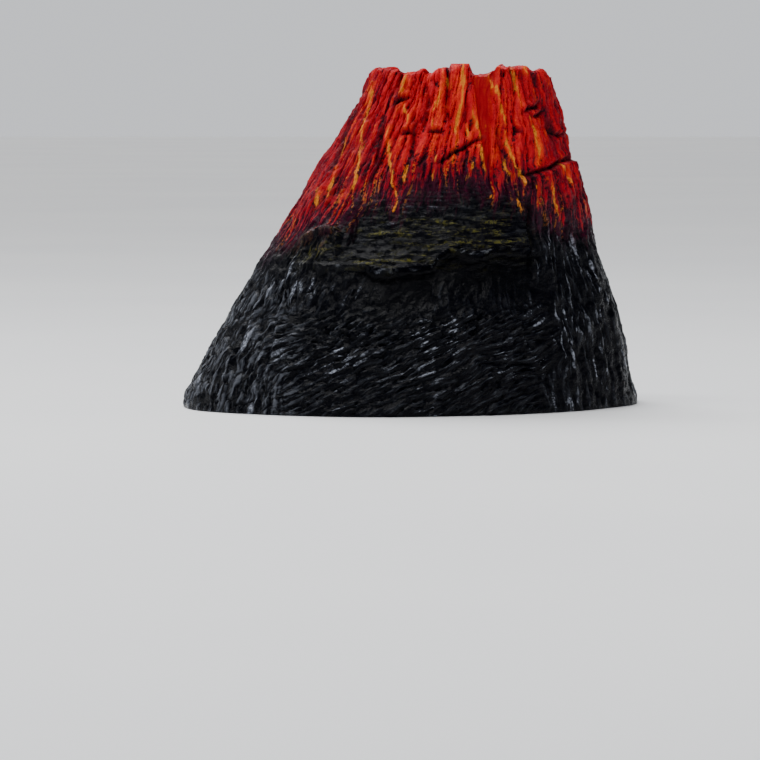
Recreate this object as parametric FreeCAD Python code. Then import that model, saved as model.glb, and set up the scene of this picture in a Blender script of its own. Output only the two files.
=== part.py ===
"""Bubbling volcano ornament for an aquarium: a hollow resin casting that stands over a lit air bubbler.

Row frame, millimetres: +Z up, origin under the middle of the casting's bounding box on the
surface it stands on, -Y towards the front, +X to the right. The bubbler stands under the crater.
"""

import FreeCAD
import Part

import math
import os

V = FreeCAD.Vector
X_AXIS, Y_AXIS, Z_AXIS = V(1, 0, 0), V(0, 1, 0), V(0, 0, 1)

# ---- Casting: outside ------------------------------------------------------------------------
base_length = 155.0        # long axis of the foot outline
base_breadth = 119.0       # short axis of the foot outline
rim_length = 60.0          # long axis of the crater rim, outside
rim_breadth = 47.0         # short axis of the crater rim, outside
plan_turn = 18.0           # degrees that the long axis is turned about Z
height = 114.0             # foot to rim
rim_shift_x = 16.5         # crater axis from the foot's centre
rim_shift_y = 2.0
flank_curve = 0.03         # how far the flank leaves a straight slope, as a share of the slope
buttress_relief = 1.5      # how far the broad buttresses stand proud of the plain cone
flute_relief = 0.55        # depth of the narrower flutes between them

# ---- Casting: inside -------------------------------------------------------------------------
wall = 6.0                 # side wall
rim_wall = 7.0             # wall at the crater rim
scallop_depth = 2.6        # notches in the crater rim
scallop_radius = 4.6
scallop_angles = (-142.0, -97.0, -63.0, -28.0, 22.0, 71.0, 118.0, 171.0)
notch_side_gap = 4.0       # arch at the back to the port flanges
notch_head_gap = 3.5
notch_margin = 12.0        # how far the arch's cutter reaches past the back wall

# ---- Bubbler: housing ------------------------------------------------------------------------
cup_stand = 7.0            # height of the housing's underside above the surface
chamber_radius = 24.0
housing_floor = 2.5
socket_roof = 3.4          # top of a suction cup's nub to the circuit board
spigot_radius = 3.5        # spigot that the stone cup pushes onto
neck_step = 0.7            # spigot to the sealing neck that passes through the lens
column_step = 2.3          # neck to the middle column under the lens
air_bore_radius = 1.6
duct_radius = 3.0          # outside of the duct from the inlet to the column
duct_clearance = 0.5       # duct to circuit board
port_spacing = 13.0        # air inlet to cable gland
port_side_margin = 2.0     # port block beside the port flanges
port_head_margin = 1.5     # port block above the port flanges
port_block_proud = 4.0     # flat back face of the port block beyond the round housing

# ---- Bubbler: suction cups -------------------------------------------------------------------
cup_count = 3
cup_radius = 11.0
cup_nub_radius = 4.0
cup_nub_length = 5.0
cup_flange_step = 1.2      # nub to the flange that seats on the housing
cup_flange = 0.9
cup_neck_length = 1.8      # flange to the foot of the neck
cup_shoulder = (7.9, 2.7)  # radius and height where the skirt meets the neck's slope
cup_hollow = 2.2           # depth of the hollow under a cup
cup_hollow_waist = (6.0, 1.5)
cup_lip = 0.7
socket_wall = 2.0
socket_merge = 0.6         # how far a socket runs into the chamber's wall
fit_gap = 0.03             # clearance of parts pushed or glued into a hole

# ---- Bubbler: lens, cover and seals ----------------------------------------------------------
lens_thickness = 2.5
lens_hub_wall = 2.8
lens_hub_height = 4.5
lens_gap = 0.2             # lens to cover, and lens hub to neck
seal_land = 0.88           # face left on each side of the outer seal
cover_lip_step = 0.4       # chamber wall to the cover's inner edge
cover_thickness = 2.4      # cover ring above the lens
cover_chamfer = 0.6
outer_seal_section = 0.72
neck_seal_section = 0.72
seal_side_gap = 0.08       # O-ring to the sides of its groove
screw_count = 4
screw_inset = 2.4          # screw axis to the lens edge, and to the outside of the housing
screw_radius = 0.95
screw_pilot_radius = 1.0
screw_clear_radius = 1.25
screw_head_radius = 1.7
screw_head_height = 1.3
screw_head_round = 0.4
screw_head_sink = 0.3      # head below the cover's top
screw_length = 8.0
screw_point_radius = 0.3
driver_slot_width = 0.5
driver_slot_depth = 0.6

# ---- Bubbler: electronics --------------------------------------------------------------------
board_thickness = 1.6
board_edge_gap = 0.6       # board to chamber wall
board_gap = 0.4            # board to column
led_count = 6
led_inset = 5.0            # diode centres from the board's edge
led_side = 5.0
led_height = 1.6
led_dome_radius = 1.9
led_clearance = 0.45       # top of a diode to the lens
resistor_count = 3
resistor_inset = 5.1       # resistor centres from the board's hole
resistor_size = (3.2, 1.6, 0.6)
resistor_round = 0.1

# ---- Bubbler: ports --------------------------------------------------------------------------
inlet_tail_radius = 2.6    # part of the inlet inside the port block
inlet_tail_length = 6.0
inlet_flange_radius = 4.4
inlet_flange = 1.6
hose_tail_radius = 2.4     # takes 4 mm bore air line
hose_tail_length = 12.0
hose_bore_radius = 1.2
hose_tip_chamfer = 0.5
inlet_seal_section = 0.6
gland_body_radius = 3.2
gland_flange_radius = 4.6
gland_flange = 2.0
gland_nose_length = 5.0
gland_nose_radius = 2.8    # at its end
gland_nose_taper = 0.8     # how much wider the nose is at its root
cable_bore_radius = 1.8    # takes a 3.5 mm cable

# ---- Bubbler: air stone ----------------------------------------------------------------------
stone_radius = 11.3
stone_height = 7.5
stone_edge_round = 1.2
stone_gap = 0.15           # stone to cup wall
cup_wall = 1.5
stone_cup_floor = 2.0
stone_hub_wall = 2.05
stone_ledge = 0.9          # ledge that the stone's edge rests on
plenum_depth = 1.5         # air space under the stone
stone_cup_wall_height = 5.0
stone_cup_gap = 0.05       # stone cup to the lens hub it seats on
spigot_engagement = 3.5
spigot_gap = 0.05
stone_seal_section = 0.55

# ---- Sections of the casting's surface ---------------------------------------------------------
columns = 48               # control points round the outline
levels = 9                 # outlines from foot to rim
cut_margin = 1.0           # how far a cutter reaches past a face

# ---- Worked out: radii of the bubbler from its axis --------------------------------------------
socket_radius = cup_nub_radius + socket_wall
cup_circle = chamber_radius - socket_radius + socket_merge
cup_flange_radius = cup_nub_radius + cup_flange_step
outer_seal_circle = chamber_radius + seal_land + outer_seal_section
lens_radius = outer_seal_circle + outer_seal_section + seal_land
screw_circle = lens_radius + screw_inset
housing_radius = screw_circle + screw_inset
cover_lip_radius = chamber_radius + cover_lip_step
neck_radius = spigot_radius + neck_step
column_radius = neck_radius + column_step
lens_bore = neck_radius + lens_gap
lens_hub_radius = lens_bore + lens_hub_wall
neck_seal_circle = lens_bore - neck_seal_section
board_radius = chamber_radius - board_edge_gap
board_hole = column_radius + board_gap
led_circle = board_radius - led_inset
resistor_circle = board_hole + resistor_inset
stone_cup_bore = spigot_radius + spigot_gap
stone_hub_radius = stone_cup_bore + stone_hub_wall
stone_seal_circle = stone_cup_bore - fit_gap - stone_seal_section
stone_bed_radius = stone_radius + stone_gap
stone_cup_radius = stone_bed_radius + cup_wall
plenum_radius = stone_radius - stone_ledge
inlet_seal_circle = inlet_tail_radius + fit_gap + inlet_seal_section
gland_x = -port_spacing
gland_inner_end = math.sqrt(chamber_radius ** 2 - (port_spacing - gland_body_radius) ** 2)
gland_nose_root = gland_nose_radius + gland_nose_taper
port_block_reach = housing_radius + port_block_proud
port_span = port_spacing + gland_flange_radius + inlet_flange_radius
port_block_width = port_span + 2 * port_side_margin
notch_width = port_span + 2 * notch_side_gap
cup_angles = [30.0 + 360.0 * i / cup_count for i in range(cup_count)]
screw_angles = [45.0 + 360.0 * i / screw_count for i in range(screw_count)]

# ---- Worked out: heights above the surface the ornament stands on ------------------------------
underside = cup_stand
chamber_floor = underside + housing_floor
nub_top = underside + cup_nub_length
board_z = nub_top + socket_roof
board_top = board_z + board_thickness
led_dome_z = board_top + led_height - led_dome_radius / 2
seal_face = led_dome_z + led_dome_radius + led_clearance
duct_z = board_z - duct_clearance - duct_radius
port_flange_top = duct_z + max(gland_flange_radius, inlet_flange_radius)
port_block_top = port_flange_top + port_head_margin
notch_height = port_flange_top + notch_head_gap
lens_top = seal_face + lens_thickness
hub_top = seal_face + lens_hub_height
cover_top = lens_top + cover_thickness
screw_seat = cover_top - screw_head_height - screw_head_sink
screw_tip = screw_seat - screw_length
outer_seal_z = seal_face - outer_seal_section
neck_seal_z = seal_face + lens_thickness / 2
stone_cup_z = hub_top + stone_cup_gap
stone_floor_top = stone_cup_z + spigot_engagement
stone_seat = stone_floor_top + plenum_depth
stone_cup_rim = stone_seat + stone_cup_wall_height
stone_top = stone_seat + stone_height
stone_seal_z = (stone_cup_z + stone_floor_top) / 2
spigot_top = stone_floor_top - spigot_gap


def disc(radius, z0, z1, x=0.0, y=0.0):
    """Upright cylinder."""
    return Part.makeCylinder(radius, z1 - z0, V(x, y, z0))


def tube(outer, inner, z0, z1, x=0.0, y=0.0):
    """Upright tube."""
    hole = disc(inner, z0 - cut_margin, z1 + cut_margin, x, y)
    return disc(outer, z0, z1, x, y).cut(hole)


def rod_y(radius, y0, y1, x, z):
    """Cylinder that lies along Y."""
    return Part.makeCylinder(radius, y1 - y0, V(x, y0, z), Y_AXIS)


def turned(profile):
    """Solid of revolution about Z from (radius, z) points."""
    points = [V(r, 0, z) for r, z in profile]
    face = Part.Face(Part.makePolygon(points + [points[0]]))
    return face.revolve(V(0, 0, 0), Z_AXIS, 360)


def round_about(solid, angle):
    """Copy of a solid turned about the Z axis."""
    copy = solid.copy()
    copy.rotate(V(0, 0, 0), Z_AXIS, angle)
    return copy


def fuse_all(solids):
    return solids[0].fuse(solids[1:]).removeSplitter()


def around(solid, angles):
    """Copies of a solid at each angle about Z."""
    return [round_about(solid, angle) for angle in angles]


def is_circle(edge, radius, z):
    """Whether an edge is a level circle of this radius at this height."""
    curve = edge.Curve
    if not isinstance(curve, Part.Circle):
        return False
    return abs(curve.Radius - radius) < 1e-6 and abs(curve.Center.z - z) < 1e-6


# ---- Casting -----------------------------------------------------------------------------------

def slope_share(t):
    """How far the outline has moved from foot to rim at height share t."""
    return t - flank_curve * math.sin(2 * math.pi * t)


def buttress(angle, t):
    """Relief of the flank: broad buttresses that widen towards the foot, with flutes between."""
    broad = math.cos(4 * angle + 0.9) + 0.6 * math.cos(7 * angle + 2.1 - 0.8 * t)
    narrow = math.cos(13 * angle + 0.5 + 1.3 * t) + 0.5 * math.cos(19 * angle + 2.6)
    return buttress_relief * (1 - 0.6 * t) * broad / 1.6 + flute_relief * narrow / 1.5


def outline(t, half_length, half_breadth, relief):
    """Control points of one closed outline at height share t."""
    share = slope_share(t)
    turn = math.radians(plan_turn)
    points = []
    for i in range(columns):
        angle = 2 * math.pi * i / columns
        proud = buttress(angle, t) if relief else 0.0
        u = (half_length + proud) * math.cos(angle)
        v = (half_breadth + proud) * math.sin(angle)
        x = u * math.cos(turn) - v * math.sin(turn) + rim_shift_x * share
        y = u * math.sin(turn) + v * math.cos(turn) + rim_shift_y * share
        points.append(V(x, y, height * t))
    return points


def cone(foot, rim, t0, t1, relief):
    """Closed solid between height shares t0 and t1 with a smooth flank.

    foot and rim are the half length and half breadth of the outline at shares 0 and 1.
    """
    rows = []
    for k in range(levels):
        t = t0 + (t1 - t0) * k / (levels - 1)
        share = slope_share(t)
        half = [f + (r - f) * share for f, r in zip(foot, rim)]
        rows.append(outline(t, half[0], half[1], relief))
    spans = levels - 3
    flank = Part.BSplineSurface()
    flank.buildFromPolesMultsKnots(
        rows,
        [4] + [1] * (spans - 1) + [4],
        [1] * (columns + 1),
        [float(i) for i in range(spans + 1)],
        [float(i) for i in range(columns + 1)],
        False,
        True,
        3,
        3,
    )
    side = flank.toShape()
    ends = [e for e in side.Edges if e.BoundBox.ZLength < 1e-6]
    caps = [Part.Face(Part.Wire([e])) for e in ends]
    skin = Part.makeShell([side] + caps)
    skin.sewShape()
    return Part.Solid(skin)


def crater_axis():
    return rim_shift_x, rim_shift_y


def make_casting():
    """Hollow volcano, open at the crater and underneath, with an arch at the back."""
    foot = (base_length / 2, base_breadth / 2)
    rim = (rim_length / 2, rim_breadth / 2)
    proud = buttress_relief + flute_relief
    foot_inside = [half - wall - proud for half in foot]
    rim_inside = [half - rim_wall for half in rim]
    over = cut_margin / height
    body = cone(foot, rim, 0.0, 1.0, True)
    body = body.cut(cone(foot_inside, rim_inside, -over, 1.0 + over, False))
    cx, cy = crater_axis()
    for angle in scallop_angles:
        cutter = Part.makeCylinder(scallop_radius, rim_length, V(0, 0, 0), X_AXIS)
        cutter.rotate(V(0, 0, 0), Z_AXIS, angle)
        cutter.translate(V(cx, cy, height + scallop_radius - scallop_depth))
        body = body.cut(cutter)
    half_notch = notch_width / 2
    notch_x = cx + gland_x / 2
    notch_y = cy + housing_radius
    notch_reach = base_breadth / 2 + notch_margin
    springing = notch_height - half_notch
    door = Part.makeBox(notch_width, notch_reach, springing + cut_margin,
                        V(notch_x - half_notch, notch_y, -cut_margin))
    arch = rod_y(half_notch, notch_y, notch_y + notch_reach, notch_x, springing)
    return body.cut(door.fuse(arch))


# ---- Bubbler, about its own axis ----------------------------------------------------------------

def cup_socket():
    """Outside of the boss that a suction cup's nub pushes into."""
    return disc(socket_radius, underside, board_z, cup_circle)


def air_duct():
    """Outside of the duct from the port block to the column."""
    return rod_y(duct_radius, 0, chamber_radius + cut_margin, 0, duct_z)


def face_groove(circle, section, z, top):
    """Cutter for a groove in a level face; its O-ring's centre line is at height z."""
    half = section + seal_side_gap
    return tube(circle + half, circle - half, z - section, top)


def shaft_groove(shaft_radius, circle, section, z):
    """Cutter for a groove round a shaft; its O-ring's centre line is at height z."""
    half = section + seal_side_gap
    return tube(shaft_radius + cut_margin, circle - section, z - half, z + half)


def housing_body():
    """Pan with a middle column, the air duct, the cup sockets and a flat port block at the back."""
    block = Part.makeBox(port_block_width, port_block_reach, port_block_top - underside,
                         V((gland_x - port_block_width) / 2, 0, underside))
    pan = disc(housing_radius, underside, seal_face).fuse(block)
    pan = pan.cut(disc(chamber_radius, chamber_floor, seal_face + cut_margin))
    column = disc(column_radius, underside, seal_face)
    neck = disc(neck_radius, seal_face, hub_top)
    spigot = disc(spigot_radius, hub_top, spigot_top)
    return fuse_all([pan, column, neck, spigot, air_duct()] + around(cup_socket(), cup_angles))


def seal_grooves():
    inlet_groove = rod_y(inlet_seal_circle + inlet_seal_section + seal_side_gap,
                         port_block_reach - 2 * inlet_seal_section,
                         port_block_reach + cut_margin, 0, duct_z)
    return [
        face_groove(outer_seal_circle, outer_seal_section, outer_seal_z, seal_face + cut_margin),
        shaft_groove(neck_radius, neck_seal_circle, neck_seal_section, neck_seal_z),
        shaft_groove(spigot_radius, stone_seal_circle, stone_seal_section, stone_seal_z),
        inlet_groove,
    ]


def port_bores():
    """Air passage from the inlet up the spigot, and the holes of the inlet and the gland."""
    rise = disc(air_bore_radius, duct_z, spigot_top + cut_margin)
    run = rod_y(air_bore_radius, 0, port_block_reach, 0, duct_z)
    inlet_hole = rod_y(inlet_tail_radius + fit_gap, port_block_reach - inlet_tail_length,
                       port_block_reach + cut_margin, 0, duct_z)
    gland_hole = rod_y(gland_body_radius + fit_gap, gland_inner_end - gland_body_radius,
                       port_block_reach + cut_margin, gland_x, duct_z)
    return [rise, run, inlet_hole, gland_hole]


def make_base_housing():
    """Sealed lower housing."""
    nub_hole = disc(cup_nub_radius + fit_gap, underside - cut_margin, nub_top + fit_gap, cup_circle)
    pilot = disc(screw_pilot_radius, screw_tip - cut_margin, seal_face + cut_margin, screw_circle)
    holes = around(nub_hole, cup_angles) + around(pilot, screw_angles)
    return housing_body().cut(seal_grooves() + port_bores() + holes)


def make_clear_lens():
    """Clear window with a hub round the neck."""
    lens = disc(lens_radius, seal_face, lens_top).fuse(disc(lens_hub_radius, seal_face, hub_top))
    bore = disc(lens_bore, seal_face - cut_margin, hub_top + cut_margin)
    return lens.cut(bore).removeSplitter()


def make_cover_ring():
    """Bezel that clamps the lens rim onto the housing."""
    ring = turned([
        (cover_lip_radius, lens_top),
        (cover_lip_radius, cover_top - cover_chamfer),
        (cover_lip_radius + cover_chamfer, cover_top),
        (housing_radius - cover_chamfer, cover_top),
        (housing_radius, cover_top - cover_chamfer),
        (housing_radius, seal_face),
        (lens_radius + lens_gap, seal_face),
        (lens_radius + lens_gap, lens_top),
    ])
    clear = disc(screw_clear_radius, seal_face - cut_margin, cover_top + cut_margin, screw_circle)
    head = disc(screw_head_radius + lens_gap, screw_seat, cover_top + cut_margin, screw_circle)
    return ring.cut(around(clear.fuse(head), screw_angles))


def make_outer_seal():
    return Part.makeTorus(outer_seal_circle, outer_seal_section, V(0, 0, outer_seal_z))


def make_neck_seal():
    return Part.makeTorus(neck_seal_circle, neck_seal_section, V(0, 0, neck_seal_z))


def make_stone_seal():
    return Part.makeTorus(stone_seal_circle, stone_seal_section, V(0, 0, stone_seal_z))


def make_inlet_seal():
    centre = V(0, port_block_reach - inlet_seal_section, duct_z)
    return Part.makeTorus(inlet_seal_circle, inlet_seal_section, centre, Y_AXIS)


def make_circuit_board():
    """Ring board that rests on the cup sockets."""
    return tube(board_radius, board_hole, board_z, board_top)


def make_led_set():
    """Square light-emitting diodes with a domed window, spaced round the board."""
    body = Part.makeBox(led_side, led_side, led_height, V(-led_side / 2, -led_side / 2, board_top))
    dome = Part.makeSphere(led_dome_radius, V(0, 0, led_dome_z), Z_AXIS, 0, 90)
    led = body.fuse(dome).removeSplitter()
    led.translate(V(led_circle, 0, 0))
    angles = [360.0 * (i + 0.5) / led_count for i in range(led_count)]
    return Part.makeCompound(around(led, angles))


def make_resistor_set():
    """Chip resistors between the diodes."""
    long, broad, thick = resistor_size
    chip = Part.makeBox(broad, long, thick, V(resistor_circle - broad / 2, -long / 2, board_top))
    chip = chip.makeFillet(resistor_round, chip.Edges)
    angles = [360.0 * i / resistor_count for i in range(resistor_count)]
    return Part.makeCompound(around(chip, angles))


def make_potting_resin():
    """Resin poured round the column, the duct and the cup sockets up to the board."""
    pour = disc(chamber_radius, chamber_floor, board_z)
    column = disc(column_radius, chamber_floor - cut_margin, board_z + cut_margin)
    return pour.cut([column, air_duct()] + around(cup_socket(), cup_angles))


def make_cover_screws():
    """Pan head screws with a driver slot."""
    head_top = screw_seat + screw_head_height
    head = disc(screw_head_radius, screw_seat, head_top)
    top_edges = [e for e in head.Edges if is_circle(e, screw_head_radius, head_top)]
    head = head.makeFillet(screw_head_round, top_edges)
    shank = disc(screw_radius, screw_tip + screw_radius, screw_seat)
    point = Part.makeCone(screw_point_radius, screw_radius, screw_radius, V(0, 0, screw_tip))
    slot_reach = screw_head_radius + cut_margin
    slot = Part.makeBox(2 * slot_reach, driver_slot_width, driver_slot_depth + cut_margin,
                        V(-slot_reach, -driver_slot_width / 2, head_top - driver_slot_depth))
    screw = fuse_all([head, shank, point]).cut(slot)
    screw.translate(V(screw_circle, 0, 0))
    return Part.makeCompound(around(screw, screw_angles))


def make_suction_cup(angle):
    """Soft cup with a nub that pushes into the housing's socket."""
    flange_z = cup_stand - cup_flange
    waist = cup_nub_radius - cup_lip
    profile = [
        (0, cup_hollow),
        cup_hollow_waist,
        (cup_radius - cup_lip, 0),
        (cup_radius, 0),
        (cup_radius, cup_lip),
        cup_shoulder,
        (cup_nub_radius, flange_z - cup_neck_length),
        (waist, flange_z - cup_lip),
        (waist, flange_z),
        (cup_flange_radius, flange_z),
        (cup_flange_radius, underside),
        (cup_nub_radius, underside),
        (cup_nub_radius, nub_top - cup_lip),
        (waist, nub_top),
        (0, nub_top),
    ]
    cup = turned(profile)
    cup.translate(V(cup_circle, 0, 0))
    return round_about(cup, angle)


def to_port(solid, x):
    """Lays a solid made along +Z from the port block's face along +Y."""
    solid.rotate(V(0, 0, 0), X_AXIS, -90)
    solid.translate(V(x, port_block_reach, duct_z))
    return solid


def make_air_inlet():
    """Hose tail for the air line, glued into the port block."""
    tip = inlet_flange + hose_tail_length
    tail = fuse_all([
        disc(inlet_tail_radius, -inlet_tail_length, 0),
        disc(inlet_flange_radius, 0, inlet_flange),
        disc(hose_tail_radius, inlet_flange, tip),
    ])
    tip_edges = [e for e in tail.Edges if is_circle(e, hose_tail_radius, tip)]
    tail = tail.makeChamfer(hose_tip_chamfer, tip_edges)
    bore = disc(hose_bore_radius, -inlet_tail_length - cut_margin, tip + cut_margin)
    return to_port(tail.cut(bore), 0.0)


def make_cable_gland():
    """Moulded rubber gland for the lamp's cable."""
    body_length = port_block_reach - gland_inner_end
    nose_end = gland_flange + gland_nose_length
    nose = Part.makeCone(gland_nose_root, gland_nose_radius, gland_nose_length,
                         V(0, 0, gland_flange))
    gland = fuse_all([
        disc(gland_body_radius, -body_length, 0),
        disc(gland_flange_radius, 0, gland_flange),
        nose,
    ])
    bore = disc(cable_bore_radius, -body_length - cut_margin, nose_end + cut_margin)
    return to_port(gland.cut(bore), gland_x)


def make_stone_cup():
    """Cup that holds the air stone and pushes onto the spigot."""
    cup = disc(stone_cup_radius, stone_floor_top - stone_cup_floor, stone_cup_rim)
    cup = cup.cut(disc(stone_bed_radius, stone_seat, stone_cup_rim + cut_margin))
    cup = cup.cut(disc(plenum_radius, stone_floor_top, stone_seat + cut_margin))
    cup = cup.fuse(disc(stone_hub_radius, stone_cup_z, stone_floor_top)).removeSplitter()
    return cup.cut(disc(stone_cup_bore, stone_cup_z - cut_margin, stone_floor_top + cut_margin))


def make_air_stone():
    """Sintered stone that lets the air out as fine bubbles."""
    stone = disc(stone_radius, stone_seat, stone_top)
    top_edges = [e for e in stone.Edges if is_circle(e, stone_radius, stone_top)]
    return stone.makeFillet(stone_edge_round, top_edges)


def main():
    casting = make_casting()
    middle = casting.optimalBoundingBox().Center
    to_row = V(-middle.x, -middle.y, 0)
    casting.translate(to_row)
    bubbler = {
        "base_housing": make_base_housing(),
        "potting_resin": make_potting_resin(),
        "circuit_board": make_circuit_board(),
        "led_set": make_led_set(),
        "resistor_set": make_resistor_set(),
        "outer_seal": make_outer_seal(),
        "neck_seal": make_neck_seal(),
        "clear_lens": make_clear_lens(),
        "cover_ring": make_cover_ring(),
        "cover_screws": make_cover_screws(),
        "air_inlet": make_air_inlet(),
        "inlet_seal": make_inlet_seal(),
        "cable_gland": make_cable_gland(),
        "stone_seal": make_stone_seal(),
        "stone_cup": make_stone_cup(),
        "air_stone": make_air_stone(),
    }
    for side, angle in zip(("right", "left", "front"), cup_angles):
        bubbler["suction_cup_" + side] = make_suction_cup(angle)
    cx, cy = crater_axis()
    os.makedirs("parts", exist_ok=True)
    casting.exportStep("parts/volcano_casting.step")
    for name, solid in bubbler.items():
        solid.translate(V(cx, cy, 0) + to_row)
        solid.exportStep("parts/" + name + ".step")
    print("bubbler axis", round(cx - middle.x, 4), round(cy - middle.y, 4))
    print("casting box", casting.optimalBoundingBox())


main()
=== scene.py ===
"""Finished looks of the bubbling volcano ornament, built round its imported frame.

Lengths are millimetres in the named sizes and metres in the scene. -Y is the front.
"""

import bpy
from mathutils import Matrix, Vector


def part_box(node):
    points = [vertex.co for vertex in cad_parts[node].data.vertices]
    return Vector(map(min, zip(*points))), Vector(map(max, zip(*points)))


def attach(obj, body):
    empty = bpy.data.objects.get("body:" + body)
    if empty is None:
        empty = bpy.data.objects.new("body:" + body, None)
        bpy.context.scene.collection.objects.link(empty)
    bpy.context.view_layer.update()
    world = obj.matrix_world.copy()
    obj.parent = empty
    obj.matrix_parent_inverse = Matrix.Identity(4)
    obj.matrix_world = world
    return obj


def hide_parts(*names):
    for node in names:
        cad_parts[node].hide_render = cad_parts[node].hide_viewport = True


bl_info = {
    "name": "Volcano Bubbler",
    "version": (1, 0, 0),
    "blender": (4, 5, 0),
    "location": "View3D > Sidebar > Volcano",
    "description": "Models and paints a volcano ornament and the lit bubbler inside it",
    "category": "Object",
}

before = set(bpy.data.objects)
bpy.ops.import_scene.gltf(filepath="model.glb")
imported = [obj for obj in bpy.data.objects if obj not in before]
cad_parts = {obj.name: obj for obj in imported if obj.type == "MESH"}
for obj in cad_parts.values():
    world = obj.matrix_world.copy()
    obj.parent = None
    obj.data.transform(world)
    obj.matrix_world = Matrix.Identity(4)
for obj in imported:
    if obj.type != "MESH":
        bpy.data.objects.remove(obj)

import math

import bpy
import numpy as np
from bpy.props import FloatProperty, FloatVectorProperty, IntProperty, PointerProperty
from bpy.types import Operator, Panel, PropertyGroup
from mathutils import Vector, noise
from mathutils.bvhtree import BVHTree

MM = 0.001

CASTING_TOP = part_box("volcano_casting")[1].z / MM
STONE_LOW, STONE_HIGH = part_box("air_stone")
AXIS_X = (STONE_LOW.x + STONE_HIGH.x) / 2
AXIS_Y = (STONE_LOW.y + STONE_HIGH.y) / 2


# ---- Settings ------------------------------------------------------------------------------------

def length(name, about, default, low=0.0):
    """A length property kept in metres, with its default given in millimetres."""
    return FloatProperty(name=name, description=about, default=default * MM, min=low,
                         subtype="DISTANCE", unit="LENGTH", precision=5)


def colour(name, about, default):
    return FloatVectorProperty(name=name, description=about, default=default, size=3,
                               subtype="COLOR", min=0.0, max=1.0)


class VolcanoSizes(PropertyGroup):
    """Sizes of the rock's surface."""

    columns: IntProperty(name="Columns", description="Faces round the rock", default=450, min=24)
    flank_rows: IntProperty(name="Flank rows", description="Faces from foot to crater",
                            default=190, min=12)
    inner_rows: IntProperty(name="Inner rows", description="Faces down the inside", default=14,
                            min=4)
    flute_depth: length("Flute depth", "Relief of the flutes round the crater", 1.9)
    bark_depth: length("Bark depth", "Relief of the striations on the flanks", 1.5)
    strata_depth: length("Strata depth", "Relief of the level beds at the front", 1.1)
    slant_depth: length("Slant depth", "Relief of the slanting beds at the foot", 1.6)
    ledge_depth: length("Ledge depth", "How far the beds overhang the hollow below", 2.4)
    channel_depth: length("Channel depth", "Depth of the smooth lava channel", 1.3)
    groove_depth: length("Groove depth", "Depth of the grooves between the large flutes", 1.2)
    crack_depth: length("Crack depth", "Depth of the cracks near the crater", 1.5)
    crest_round: length("Crest round", "Height of the rounded top of the crater wall", 1.6)


class VolcanoColours(PropertyGroup):
    """Paints of the rock."""

    rock: colour("Rock", "Black rock", (0.0008, 0.0010, 0.0024))
    rock_dust: colour("Rock dust", "Grey brushed over the rock's ridges", (0.0060, 0.0075, 0.0130))
    # painted highlight: pale grey of the glints and sheen painted on the rock's ridges
    rock_highlight: colour("Rock edge", "Pale grey on the sharpest ridges", (0.270, 0.290, 0.345))
    ochre: colour("Ochre", "Olive brushed over the beds at the front", (0.080, 0.074, 0.013))
    rock_shadow: colour("Rock shadow", "Black in the rock's hollows", (0.0006, 0.0007, 0.0012))
    maroon: colour("Maroon", "Wash between the lava and the rock", (0.040, 0.0025, 0.014))
    # also the painted shade over the lava
    crevice: colour("Crevice", "Near black in the lava's hollows", (0.008, 0.0015, 0.005))
    # partly painted shade: deep red where the lava lies low between the ridges
    lava_deep: colour("Deep lava", "Red in the hollows", (0.17, 0.0014, 0.0070))
    lava: colour("Lava", "Main red", (0.46, 0.006, 0.012))
    # painted shade: darker red at the sides; darker red low down by the rock is the paint
    lava_dull_and_shaded: colour("Dull lava", "Dark red low down and at the sides", (0.075, 0.002, 0.010))
    # partly painted highlight: orange on the lava's ridges; around the gold runs it is paint
    lava_orange: colour("Hot lava", "Orange red brushed over the ridges", (0.74, 0.060, 0.010))
    lava_gold: colour("Gold", "Yellow runs of paint", (0.60, 0.19, 0.020))


class FittingSizes(PropertyGroup):
    """Sizes of the bubbler's small fittings."""

    hose_tail: length("Hose tail", "Radius of the barbs' crests", 2.4)
    hose_bore: length("Hose bore", "Radius of the air way", 1.2)
    hose_length: length("Hose tail length", "From the flange to the tip", 12.0)
    barb_rise: length("Barb rise", "Height of a barb above the tail's root", 0.4)
    barbs: IntProperty(name="Barbs", description="Barbs on the hose tail", default=3, min=1)
    cable_bore: length("Cable bore", "Radius of the hole for the cable", 1.8)
    nose_length: length("Nose length", "Length of the gland's ribbed nose", 5.0)
    rib_groove: length("Rib groove", "Depth of the grooves in the nose", 0.45)
    ribs: IntProperty(name="Ribs", description="Ribs on the nose", default=4, min=1)
    joint_width: length("Joint width", "Solder joint, along the diode's side", 0.9)
    joint_length: length("Joint length", "Solder joint, away from the diode", 0.8)
    joint_height: length("Joint height", "Solder joint above the board", 0.35)
    stone_face: length("Stone face", "Size of the faces of the air stone", 0.30, 0.0001)
    stone_grain: length("Stone grain", "Size of the sintered grains", 0.85, 0.0001)
    stone_pit: length("Stone pit", "Depth of the pits between the grains", 0.34)
    nub_radius: length("Nub radius", "Plug of a suction cup", 4.0)


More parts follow.
